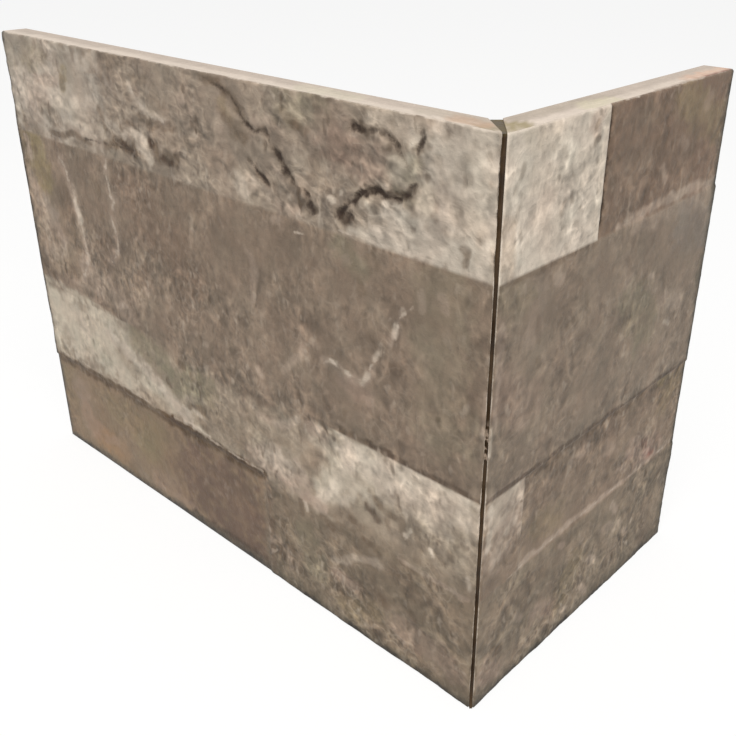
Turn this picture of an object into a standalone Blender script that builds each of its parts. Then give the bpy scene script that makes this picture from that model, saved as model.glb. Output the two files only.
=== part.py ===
"""Corner piece of stone-look wall cladding.

Two legs of pressed stoneware carry the same courses of split stone round an outside
corner. Each leg is sawn to a mitre at the corner, and the two sawn faces are bonded
with a wedge of resin that stays a little below the face, so the joint shows as a line.
The piece stands on its bottom edge. The long leg faces -Y and the short leg faces +X.
"""
from collections import namedtuple
from math import sqrt

import bpy
import bmesh
import numpy as np
from mathutils import Vector

# Outer sizes of the corner piece, in metres
height = 0.150
long_leg = 0.198
short_leg = 0.101
slab_thickness = 0.009

# Heights of the courses from the bottom edge up; the top course takes what is left
bottom_course = 0.0358
lower_course = 0.0289
middle_course = 0.0545

# Where a course changes from one stone to the next, measured from the corner
long_bottom_split = 0.0793
short_top_split = 0.0390
short_lower_split = 0.0170

# How far the stones lie below the outer plane of a leg
riven_depth = 0.00060
middle_depth = 0.00040
lower_depth = 0.00050
mottled_depth = 0.00055
smooth_depth = 0.00085
cream_depth = 0.00040
brown_depth = 0.00075

# How far the faces of the stones rise and fall
riven_rise = 0.00055
even_rise = 0.00016
mottled_rise = 0.00028
smooth_rise = 0.00006

# The sizes of the hills in the faces and each size's share of the rise
hill_sizes = (0.0170, 0.0080, 0.0042)
hill_shares = (0.50, 0.32, 0.18)
hill_cells = (97, 89)
long_seed = 11
short_seed = 41

# The sloping step between two stones, and the ground bevels round the face
step_width = 0.0008
edge_bevel = 0.0004
arris_bevel = 0.0006

# The joint between the two legs, measured square to the mitre
joint_at_face = 0.0007
joint_at_back = 0.0030
bond_gap = 0.0003
resin_recess = 0.0017
resin_end_recess = 0.0003

# Keying grooves pressed along the back
groove_pitch = 0.0130
groove_width = 0.0060
groove_depth = 0.0007
groove_draft = 0.0006
back_margin = 0.0080

# Spacing of the modelled relief
along_pitch = 0.0027
riven_pitch = 0.0021
even_pitch = 0.0048
mitre_fade = 0.0120

bottom_line = bottom_course
lower_line = bottom_line + lower_course
middle_line = lower_line + middle_course

Stone = namedtuple("Stone", "near far low high depth rise")
Crack = namedtuple("Crack", "points width depth")


def stone(near, far, low, high, depth, rise):
    """One stone of a leg; a side given as None runs out over the leg's edge."""
    beyond = 10 * max(height, long_leg, short_leg)
    return Stone(
        -beyond if near is None else near,
        beyond if far is None else far,
        -beyond if low is None else low,
        beyond if high is None else high,
        depth,
        rise,
    )


long_stones = [
    stone(None, None, middle_line, None, riven_depth, riven_rise),
    stone(None, None, lower_line, middle_line, middle_depth, even_rise),
    stone(None, None, bottom_line, lower_line, lower_depth, mottled_rise),
    stone(None, long_bottom_split, None, bottom_line, mottled_depth, mottled_rise),
    stone(long_bottom_split, None, None, bottom_line, smooth_depth, smooth_rise),
]

short_stones = [
    stone(None, short_top_split, middle_line, None, cream_depth, even_rise),
    stone(short_top_split, None, middle_line, None, brown_depth, even_rise),
    stone(None, None, lower_line, middle_line, middle_depth, even_rise),
    stone(None, short_lower_split, bottom_line, lower_line, lower_depth, even_rise),
    stone(short_lower_split, None, bottom_line, lower_line, brown_depth, even_rise),
    stone(None, None, None, bottom_line, mottled_depth, mottled_rise),
]

# Cracks in the riven top course: points are (from the corner, above the course's lower line)
slanting_crack = Crack(
    [(0.0904, 0.0290), (0.0775, 0.0215), (0.0680, 0.0160), (0.0594, 0.0085), (0.0530, 0.0035)],
    0.0011,
    0.00055,
)
looping_crack = Crack(
    [
        (0.0400, 0.0262),
        (0.0300, 0.0260),
        (0.0215, 0.0200),
        (0.0245, 0.0140),
        (0.0360, 0.0112),
        (0.0450, 0.0040),
    ],
    0.0011,
    0.00055,
)
ledge_crack = Crack(
    [(0.1740, 0.0042), (0.1580, 0.0038), (0.1420, 0.0056), (0.1280, 0.0040)],
    0.0013,
    0.00045,
)
hooked_crack = Crack(
    [(0.1250, 0.0130), (0.1190, 0.0080), (0.1110, 0.0045)],
    0.0012,
    0.00045,
)
long_cracks = [slanting_crack, looping_crack, ledge_crack, hooked_crack]


def clear_scene():
    """Take out whatever the file opened with."""
    for item in list(bpy.data.objects):
        bpy.data.objects.remove(item, do_unlink=True)


def make_material(name, colour, roughness):
    """A plain finish: colour is linear red, green and blue."""
    material = bpy.data.materials.new(name)
    material.use_nodes = True
    shader = material.node_tree.nodes["Principled BSDF"]
    shader.inputs["Base Color"].default_value = (*colour, 1.0)
    shader.inputs["Roughness"].default_value = roughness
    shader.inputs["Metallic"].default_value = 0.0
    return material


def hills(along, up, size, seed):
    """Smooth hills and hollows: random heights at the corners of square cells, eased across."""
    corner_heights = np.random.RandomState(seed).uniform(-1.0, 1.0, hill_cells)
    column, across = np.divmod(along / size, 1.0)
    row, rising = np.divmod(up / size, 1.0)
    column = column.astype(int)
    row = row.astype(int)
    across = across * across * (3.0 - 2.0 * across)
    rising = rising * rising * (3.0 - 2.0 * rising)

    def at(i, j):
        return corner_heights[(column + i) % hill_cells[0], (row + j) % hill_cells[1]]

    low = at(0, 0) * (1.0 - across) + at(1, 0) * across
    high = at(0, 1) * (1.0 - across) + at(1, 1) * across
    return low * (1.0 - rising) + high * rising


def riven_surface(along, up, seed):
    """Hills of each size on top of each other, between about -1 and 1."""
    layers = enumerate(zip(hill_sizes, hill_shares))
    return sum(share * hills(along, up, size, seed + layer) for layer, (size, share) in layers)


def distance_to(points, along, up):
    """Distance from each place on the face to the nearest stretch of a line through points."""
    nearest = np.full(along.shape, np.inf)
    for (a0, u0), (a1, u1) in zip(points, points[1:]):
        run = a1 - a0
        climb = u1 - u0
        share = ((along - a0) * run + (up - u0) * climb) / (run * run + climb * climb)
        share = np.clip(share, 0.0, 1.0)
        gap = np.hypot(along - a0 - share * run, up - u0 - share * climb)
        nearest = np.minimum(nearest, gap)
    return nearest


def face_depth(along, up, leg, stones, cracks, seed):
    """Depth of the face below the outer plane: stones, their unevenness, cracks and bevels."""
    surface = riven_surface(along, up, seed)
    total = np.zeros(along.shape)
    weight = np.zeros(along.shape)
    for piece in stones:
        inside = np.ones(along.shape)
        for reach in (along - piece.near, piece.far - along, up - piece.low, piece.high - up):
            inside = inside * np.clip(reach / step_width + 0.5, 0.0, 1.0)
        total += inside * (piece.depth + piece.rise * surface)
        weight += inside
    depth = total / weight
    for crack in cracks:
        gap = distance_to(crack.points, along, up - middle_line)
        depth = depth + crack.depth * np.exp(-((gap / crack.width) ** 2))
    depth = depth - depth.min()
    for rim in (up, height - up, leg - along):
        depth = depth + np.clip(edge_bevel - rim, 0.0, edge_bevel)
    return depth + np.clip(arris_bevel - along, 0.0, arris_bevel) * edge_bevel / arris_bevel


def mitre_run(depth):
    """How far from the corner the sawn face lies, at a depth below the outer plane."""
    flare = (joint_at_back - joint_at_face) / (sqrt(2) * slab_thickness)
    return joint_at_face / sqrt(2) + depth * (1.0 + flare)


def spread(fixed, pitch_at):
    """The fixed lines, with even lines between them at the pitch that holds there."""
    lines = []
    for start, end in zip(fixed, fixed[1:]):
        count = max(1, round((end - start) / pitch_at((start + end) / 2)))
        lines.extend(np.linspace(start, end, count, endpoint=False))
    return np.array([*lines, fixed[-1]])


def fixed_lines(first_bevel, last_bevel, end, borders):
    """The bevels' lines, and a line either side of each border that lies on the leg."""
    lines = {0.0, first_bevel, end - last_bevel, end}
    for border in borders:
        for line in (border - step_width / 2, border + step_width / 2):
            if first_bevel < line < end - last_bevel:
                lines.add(line)
    return sorted(lines)


def back_profile():
    """The back from the bottom edge to the top: lands with grooves, as (up, depth) points."""
    room = height - 2 * back_margin - groove_width
    count = max(1, int(room / groove_pitch) + 1)
    lowest = height / 2 - (count - 1) * groove_pitch / 2
    floor = slab_thickness - groove_depth
    points = [(0.0, slab_thickness)]
    for index in range(count):
        middle = lowest + index * groove_pitch
        points += [
            (middle - groove_width / 2, slab_thickness),
            (middle - groove_width / 2 + groove_draft, floor),
            (middle + groove_width / 2 - groove_draft, floor),
            (middle + groove_width / 2, slab_thickness),
        ]
    return [*points, (height, slab_thickness)]


def press_leg(name, leg, stones, cracks, borders, seed, away, inward, material):
    """One leg: the relief in front, the grooved back, and four flat walls between them.

    away points from the corner along the leg, and inward from its face into the slab.
    """
    columns = spread(fixed_lines(arris_bevel, edge_bevel, leg, borders), lambda _: along_pitch)
    rows = spread(
        fixed_lines(edge_bevel, edge_bevel, height, (bottom_line, lower_line, middle_line)),
        lambda place: riven_pitch if place > middle_line else even_pitch,
    )
    along, up = np.meshgrid(columns, rows, indexing="ij")
    depth = face_depth(along, up, leg, stones, cracks, seed)
    along = along + mitre_run(depth) * np.clip(1.0 - along / mitre_fade, 0.0, 1.0)

    mesh = bmesh.new()

    def point(reach, sink, rise):
        return mesh.verts.new(away * reach + inward * sink + Vector((0.0, 0.0, rise)))

    front = [[point(*place) for place in zip(*column)] for column in zip(along, depth, up)]
    profile = back_profile()
    mitre_side = [point(mitre_run(sink), sink, rise) for rise, sink in profile]
    free_side = [point(leg, sink, rise) for rise, sink in profile]

    for left, right in zip(front, front[1:]):
        for low in range(len(rows) - 1):
            mesh.faces.new((left[low], right[low], right[low + 1], left[low + 1]))
    for low in range(len(profile) - 1):
        high = low + 1
        mesh.faces.new((mitre_side[low], mitre_side[high], free_side[high], free_side[low]))
    walls = [
        [*front[0], *reversed(mitre_side)],
        [*front[-1], *reversed(free_side)],
        [*(column[0] for column in front), free_side[0], mitre_side[0]],
        [*(column[-1] for column in front), free_side[-1], mitre_side[-1]],
    ]
    for wall in walls:
        mesh.faces.new(wall)
    bmesh.ops.recalc_face_normals(mesh, faces=mesh.faces)
    return finish(mesh, name, material)


def joint_half_width(inwards):
    """Half the joint's width at a distance inwards from the corner, along the mitre."""
    arris = joint_at_face / 2
    inner = sqrt(2) * slab_thickness + joint_at_back / 2
    share = (inwards - arris) / (inner - arris)
    return (joint_at_face + (joint_at_back - joint_at_face) * share) / 2


def cast_resin(name, material):
    """The wedge of resin: its section between the sawn faces, extruded up the joint."""
    to_inside = Vector((-1.0, 1.0, 0.0)).normalized()
    to_side = Vector((1.0, 1.0, 0.0)).normalized()
    outer = joint_at_face / 2 + resin_recess
    inner = sqrt(2) * slab_thickness + joint_at_back / 2 - resin_end_recess
    mesh = bmesh.new()
    section = []
    for inwards, side in ((outer, -1), (outer, 1), (inner, 1), (inner, -1)):
        half = joint_half_width(inwards) - bond_gap
        place = to_inside * inwards + to_side * side * half
        place.z = resin_end_recess
        section.append(mesh.verts.new(place))
    base = mesh.faces.new(section)
    grown = bmesh.ops.extrude_face_region(mesh, geom=[base])
    top = [item for item in grown["geom"] if isinstance(item, bmesh.types.BMVert)]
    rise = Vector((0.0, 0.0, height - 2 * resin_end_recess))
    bmesh.ops.translate(mesh, vec=rise, verts=top)
    bmesh.ops.recalc_face_normals(mesh, faces=mesh.faces)
    return finish(mesh, name, material)


def finish(mesh, name, material):
    """Make the shape an object, with the corner's arris over its place in the frame."""
    data = bpy.data.meshes.new(name)
    mesh.to_mesh(data)
    mesh.free()
    data.materials.append(material)
    item = bpy.data.objects.new(name, data)
    item.location = (long_leg / 2, -short_leg / 2, 0.0)
    bpy.context.collection.objects.link(item)
    return item


clear_scene()
stoneware = make_material("stoneware", (0.235, 0.184, 0.139), 0.62)
resin = make_material("dark_resin", (0.050, 0.026, 0.016), 0.38)

press_leg(
    "long_leg",
    long_leg,
    long_stones,
    long_cracks,
    (long_bottom_split,),
    long_seed,
    Vector((-1.0, 0.0, 0.0)),
    Vector((0.0, 1.0, 0.0)),
    stoneware,
)
press_leg(
    "short_leg",
    short_leg,
    short_stones,
    [],
    (short_lower_split, short_top_split),
    short_seed,
    Vector((0.0, 1.0, 0.0)),
    Vector((-1.0, 0.0, 0.0)),
    stoneware,
)
cast_resin("mitre_resin", resin)
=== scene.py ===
from collections import namedtuple
from math import cos, radians, sin, sqrt

import bpy
import numpy as np
from mathutils import Matrix, Vector


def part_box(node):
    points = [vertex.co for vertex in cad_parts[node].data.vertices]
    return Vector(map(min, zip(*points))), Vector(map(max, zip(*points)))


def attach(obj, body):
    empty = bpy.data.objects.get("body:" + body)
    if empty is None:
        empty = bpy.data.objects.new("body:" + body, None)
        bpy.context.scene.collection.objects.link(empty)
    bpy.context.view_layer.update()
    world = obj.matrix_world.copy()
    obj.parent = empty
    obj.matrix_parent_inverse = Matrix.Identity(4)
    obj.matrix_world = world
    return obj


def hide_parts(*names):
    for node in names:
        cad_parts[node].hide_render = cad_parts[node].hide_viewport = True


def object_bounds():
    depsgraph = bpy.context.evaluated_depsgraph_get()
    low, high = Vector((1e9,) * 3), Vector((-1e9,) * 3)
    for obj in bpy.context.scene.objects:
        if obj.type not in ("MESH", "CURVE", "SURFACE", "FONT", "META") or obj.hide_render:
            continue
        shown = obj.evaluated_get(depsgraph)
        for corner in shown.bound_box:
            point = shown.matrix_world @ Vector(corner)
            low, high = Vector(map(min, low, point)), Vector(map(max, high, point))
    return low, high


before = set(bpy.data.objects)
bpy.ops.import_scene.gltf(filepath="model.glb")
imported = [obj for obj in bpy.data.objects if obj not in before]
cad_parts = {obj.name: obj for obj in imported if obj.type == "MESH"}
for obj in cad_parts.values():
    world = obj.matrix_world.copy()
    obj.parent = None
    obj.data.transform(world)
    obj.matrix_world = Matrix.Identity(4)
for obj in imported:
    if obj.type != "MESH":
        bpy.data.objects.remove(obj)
cad_low, cad_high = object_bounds()


# Long leg. The wide side of the piece: a stoneware slab, its face pressed and printed as four
# courses of split stone, fired, then sawn square at the ends and to a mitre at the corner.
# Places in its tables are (along from the corner, up from the bottom edge), in millimetres.
mm = 0.001
corner = Vector((cad_high.x, cad_low.y, 0.0))
height = cad_high.z
long_length = corner.x - cad_low.x
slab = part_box("long_leg")[1].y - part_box("long_leg")[0].y

bottom_line = 35.8 * mm
lower_line = 64.7 * mm
middle_line = 119.2 * mm
block_end = 79.3 * mm

step_width = 0.8 * mm
edge_bevel = 0.4 * mm
arris_bevel = 0.6 * mm
joint_at_face = 0.7 * mm
joint_at_back = 3.0 * mm
mitre_fade = 12.0 * mm
mottle_fade = 5.0 * mm

groove_pitch = 13.0 * mm
groove_width = 6.0 * mm
groove_depth = 0.7 * mm
groove_draft = 0.6 * mm
groove_count = 10
lowest_groove = height / 2 - (groove_count - 1) * groove_pitch / 2

hill_sizes = (17.0 * mm, 8.0 * mm, 4.2 * mm)
hill_shares = (0.50, 0.32, 0.18)
hill_cells = (97, 89)
chip_sizes = (2.3 * mm, 1.2 * mm)
chip_shares = (0.62, 0.38)
chip_rise = 0.42
chip_seed = 20
crack_depth = 0.5 * mm
crack_spread = 0.9
long_seed = 11

coarse_and_fine = (0.6, 0.4)
mark_wander = 0.8 * mm
sideways_sizes = (6.0 * mm, 2.6 * mm)
upwards_sizes = (5.2 * mm, 2.3 * mm)
dab_sizes = (2.4 * mm, 1.3 * mm)
mark_reach = 1.4
mark_rim = 0.9
mark_break = 0.5
mark_seed = 31
edge_stain_seed = 60
# The next two widths: painted shade, with some soiling, darkening the face towards the bottom edge and the
# free end.
shade_and_grime_up = 2.6 * mm
shade_and_grime_in = 2.0 * mm
brown_to_cream = (0.20, 0.42)
rim_held_back = (0.42, 0.0)
beige_to_bright = (0.25, 0.48)
mottle_kept = (1.0, 0.60)

rosy_depth = 4.2 * mm
rosy_waver = 1.2 * mm
rosy_blend = 2.0 * mm
waver_sizes = (9.0 * mm, 3.0 * mm)
waver_seed = 50

relief_pitch = 0.45 * mm
plain_pitch = 0.70 * mm
far_off = 9.0
beyond_leg = 10.0
wall_steps = np.array((0.0, 0.02, 0.17, 0.34, 0.51, 0.68, 0.84, 1.0))
back_stride = 12
on_the_face, sawn, on_the_back = 0, 1, 2


def shade(red, green, blue):
    """A colour given as 0 to 255 on a screen, turned into linear light."""
    parts = np.array((red, green, blue)) / 255.0
    return np.where(parts > 0.04045, ((parts + 0.055) / 1.055) ** 2.4, parts / 12.92)


riven_brown = shade(143, 129, 115)
plain_brown = shade(128, 112, 97)
mid_brown = shade(151, 137, 121)
rough_brown = shade(122, 108, 92)
smooth_brown = shade(134, 114, 92)
# Painted shade with some soiling: a dark brown laid along the bottom edges and the free ends.
shade_and_dirt = shade(98, 89, 75)
dull_brown = shade(110, 90, 75)
warm_brown = shade(148, 130, 112)
grey_beige = shade(190, 178, 165)
beige = shade(195, 183, 166)
pale = shade(172, 154, 139)
cream = shade(189, 175, 160)
grey_cream = shade(184, 173, 160)
bright = shade(214, 200, 184)
rose = shade(158, 136, 122)
rust = shade(152, 122, 92)
olive = shade(138, 123, 95)
moss = shade(128, 121, 101)
slate = shade(128, 119, 110)
umber = shade(104, 88, 72)
# Painted shadow: a dark brown line along the foot of the lower course, where its ledge stands over the bottom
# stones.
ledge_shadow = shade(86, 66, 44)
dark = shade(74, 58, 45)
fired_cream = shade(222, 208, 194)
fired_rose = shade(199, 185, 172)

Stone = namedtuple("Stone", "near far low high depth rise colour mottle lean marks")
Mark = namedtuple("Mark", "colour strength width points")
Line = namedtuple("Line", "strength width points")
Leg = namedtuple("Leg", "name away inward length columns rows stones cracks veins edge_marks seed")


def stone(near, far, low, high, depth, rise, colour, mottle, lean, marks):
    """One stone of a leg; a side given as None runs out over the leg's edge.

    Mottle is how blotchy it is by the corner and at the leg's far end; lean is 0 where its dabs
    lie flat and 1 where they are steep.
    """
    sides = ((near, -beyond_leg), (far, beyond_leg), (low, -beyond_leg), (high, beyond_leg))
    ends = [open_end if side is None else side for side, open_end in sides]
    return Stone(*ends, depth * mm, rise * mm, colour, mottle, lean, marks)


def marks(*rows):
    """Soft marks along a line through points, or round a single point, each over the last: staining and
    print, and along some courses' edges painted shadows and highlights.

    A row is (colour, strength, width, point, point, ...).
    """
    return [Mark(colour, strength, width * mm, np.array(points) * mm)
            for colour, strength, width, *points in rows]


def lines(*rows):
    """Lines through points: cracking and veining, and painted shadows and highlights; a row is (strength,
    width, point, point, ...).
    """
    return [Line(strength, width * mm, np.array(points) * mm) for strength, width, *points in rows]


riven_marks = marks(
    (grey_beige, 0.85, 15, (196, 137), (158, 136)),
    (moss, 0.35, 5.0, (195, 143), (184, 146)),
    (rose, 0.20, 5.0, (190, 131), (178, 134)),
    (bright, 0.45, 1.3, (180, 136.4), (171, 137.6)),
    (rough_brown, 0.50, 3.0, (178, 129.5), (173, 127.5)),
    (plain_brown, 0.35, 4.0, (190, 121.5), (184, 123)),
    (riven_brown, 0.60, 4.5, (163, 144), (155, 139)),
    (riven_brown, 0.60, 3.6, (157, 129.5), (149, 129)),
    (plain_brown, 0.40, 2.4, (118, 130), (100, 129.5), (84, 128.5)),
    (umber, 0.30, 2.0, (55, 133), (51, 130)),
    (rose, 0.20, 4.0, (183, 131), (170, 137)),
    (slate, 0.35, 5.0, (194, 147), (184, 143)),
    (olive, 0.30, 4.0, (184, 143), (176, 145)),
    (cream, 0.80, 3.0, (168, 131.5), (157, 133.5)),
    (bright, 0.75, 1.7, (160, 133.2), (158, 133.8)),
    (rose, 0.40, 1.6, (180, 137.5), (169, 138.3)),
    (olive, 0.55, 2.0, (163.5, 142), (163.6, 137)),
    (umber, 0.35, 1.4, (163.8, 139.5), (163.8, 136.8)),
    (umber, 0.35, 2.0, (173, 145.5)),
    (cream, 0.60, 2.2, (146, 147.5), (143, 145.5)),
    (umber, 0.45, 1.9, (139, 148), (131, 148.5)),
    (slate, 0.35, 4.0, (150, 141), (141, 138)),
    (umber, 0.65, 1.3, (145.5, 133), (142.8, 128.2)),
    (cream, 0.55, 1.6, (141, 130), (136, 128.6)),
    (cream, 0.60, 1.6, (154, 126.5), (150, 124.5)),
    (pale, 0.60, 1.3, (164, 124.5), (147, 123)),
    (umber, 0.75, 1.0, (175, 122.2), (168, 121.9), (163, 123.2), (153, 122.3)),
    (cream, 0.55, 1.1, (171, 124.6), (164, 125.6), (158, 127)),
    (cream, 0.65, 1.2, (157, 124.0), (151.5, 123.2)),
    (umber, 0.85, 1.5, (143.5, 122.9), (138, 123.9)),
    (umber, 0.85, 2.0, (138, 124.6), (129, 123.8)),
    (dark, 0.95, 1.1, (134.5, 124.6), (130, 123.4)),
    (umber, 0.55, 1.1, (132, 131.3), (127.5, 131.0)),
    (bright, 0.70, 1.3, (133.5, 127.9), (129, 128.8), (123, 128.0)),
    (cream, 0.80, 1.9, (125.5, 126), (121.5, 123)),
    (cream, 0.55, 1.2, (121, 123)),
    (cream, 0.50, 1.0, (124, 130.5), (121, 128.8)),
    (dark, 0.95, 1.6, (121.2, 128.6), (118.6, 126.8)),
    (umber, 0.75, 2.4, (117.5, 124.9), (109.5, 125.2)),
    (dark, 0.95, 1.7, (114.6, 124.2), (111.6, 123.4)),
    (cream, 0.65, 1.5, (128, 142.5), (126.3, 138.5), (122, 137.2), (119, 134.9), (112, 134.6)),
    (umber, 0.45, 1.2, (124, 134.6), (119.5, 132.8), (108, 134.0)),
    (cream, 0.40, 1.4, (147, 147.5), (142.5, 146.5)),
    (umber, 0.40, 1.5, (119, 133.2), (108, 134.0)),
    (umber, 0.35, 1.5, (119, 139.5), (111, 139.0)),
    (umber, 0.35, 1.4, (127, 144.5), (120, 145)),
    (pale, 0.50, 1.4, (127, 142.5), (124, 141)),
    (pale, 0.50, 1.5, (103.5, 142)),
    (pale, 0.45, 1.3, (99.5, 139.5)),
    (pale, 0.40, 1.5, (93, 139), (88, 137)),
    (olive, 0.40, 2.0, (87, 143), (83, 141)),
    (umber, 0.45, 1.6, (83, 136.5), (79, 135.5)),
    (umber, 0.35, 1.5, (90, 148), (82, 145.5)),
    (pale, 0.40, 2.0, (81, 122.5), (77, 125)),
    (pale, 0.45, 1.5, (71, 121.5), (60, 121.5)),
    (moss, 0.45, 5.0, (62, 145.5), (53, 146.5)),
    (umber, 0.45, 1.8, (64, 144.5), (60, 142)),
    (umber, 0.80, 1.7, (60, 142.4), (57.5, 141.4)),
    (dull_brown, 0.45, 3.5, (47, 139), (39, 138)),
    (umber, 0.50, 1.8, (81.5, 139), (79.8, 135.5)),
    (umber, 0.55, 1.1, (86.5, 139.8), (83.5, 138.6)),
    (umber, 0.45, 1.0, (88.5, 141.7), (86.2, 140.7)),
    (umber, 0.50, 1.1, (75.0, 127.4), (72.0, 124.6)),
    (pale, 0.50, 1.1, (84.5, 143.5), (81.5, 140.4)),
    (pale, 0.45, 1.1, (75.5, 141.0), (70.0, 142.0)),
    (pale, 0.50, 1.0, (68.5, 132.2), (65.2, 128.6)),
    (umber, 0.55, 1.6, (95, 149), (88, 148)),
    (umber, 0.45, 1.6, (86, 146), (79, 142)),
    (cream, 0.50, 2.4, (82.5, 125), (81, 122)),
    (cream, 0.40, 1.2, (76, 126), (70, 123)),
    (rose, 0.45, 5.5, (52, 142), (36, 137.5)),
    (bright, 0.80, 1.0, (48.5, 127), (47.9, 126.6)),
    (dark, 0.90, 1.6, (45.4, 123.3), (42.2, 123.9)),
    (umber, 0.50, 0.9, (48.3, 132.3)),
    (bright, 0.70, 0.7, (28.4, 129.4)),
    (bright, 0.60, 0.7, (31.8, 129.6), (31.2, 129.0)),
    (bright, 0.55, 0.8, (36.6, 128.0), (35.6, 126.8)),
    (bright, 0.55, 0.7, (44.8, 129.4)),
    (cream, 0.50, 0.9, (33.4, 134.4), (31.0, 133.9)),
    (umber, 0.40, 1.0, (42, 132.5), (41, 131.5)),
    (cream, 0.55, 2.4, (36, 147.5), (23, 147)),
    (grey_cream, 0.84, 11.0, (9.5, 148), (9.0, 126)),
    (grey_cream, 0.90, 5.4, (31, 124.4), (12, 124.2)),
    (grey_cream, 0.80, 1.9, (41, 121.4), (20, 121.2)),
    (grey_cream, 0.70, 2.6, (21, 131), (17.5, 139)),
    (bright, 0.40, 4.0, (6, 146), (5.0, 139)),
    (mid_brown, 0.30, 3.0, (11, 132), (5, 130)),
    (beige, 0.80, 3.4, (27, 138), (20, 133)),
    (moss, 0.35, 1.9, (24.5, 137.5), (22.5, 139.5)),
    (moss, 0.35, 1.7, (27.5, 133.0), (24.5, 131.8)),
    (umber, 0.65, 1.3, (9.5, 124.6), (8.0, 124.0)),
    (umber, 0.60, 1.2, (8.6, 121.5)),
    (umber, 0.35, 1.1, (35, 125.2), (31.5, 125.0)),
    (umber, 0.30, 1.3, (8.8, 139.6)),
    (umber, 0.35, 1.0, (2.9, 145)),
    (umber, 0.25, 1.4, (15, 147.5)),
)

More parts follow.
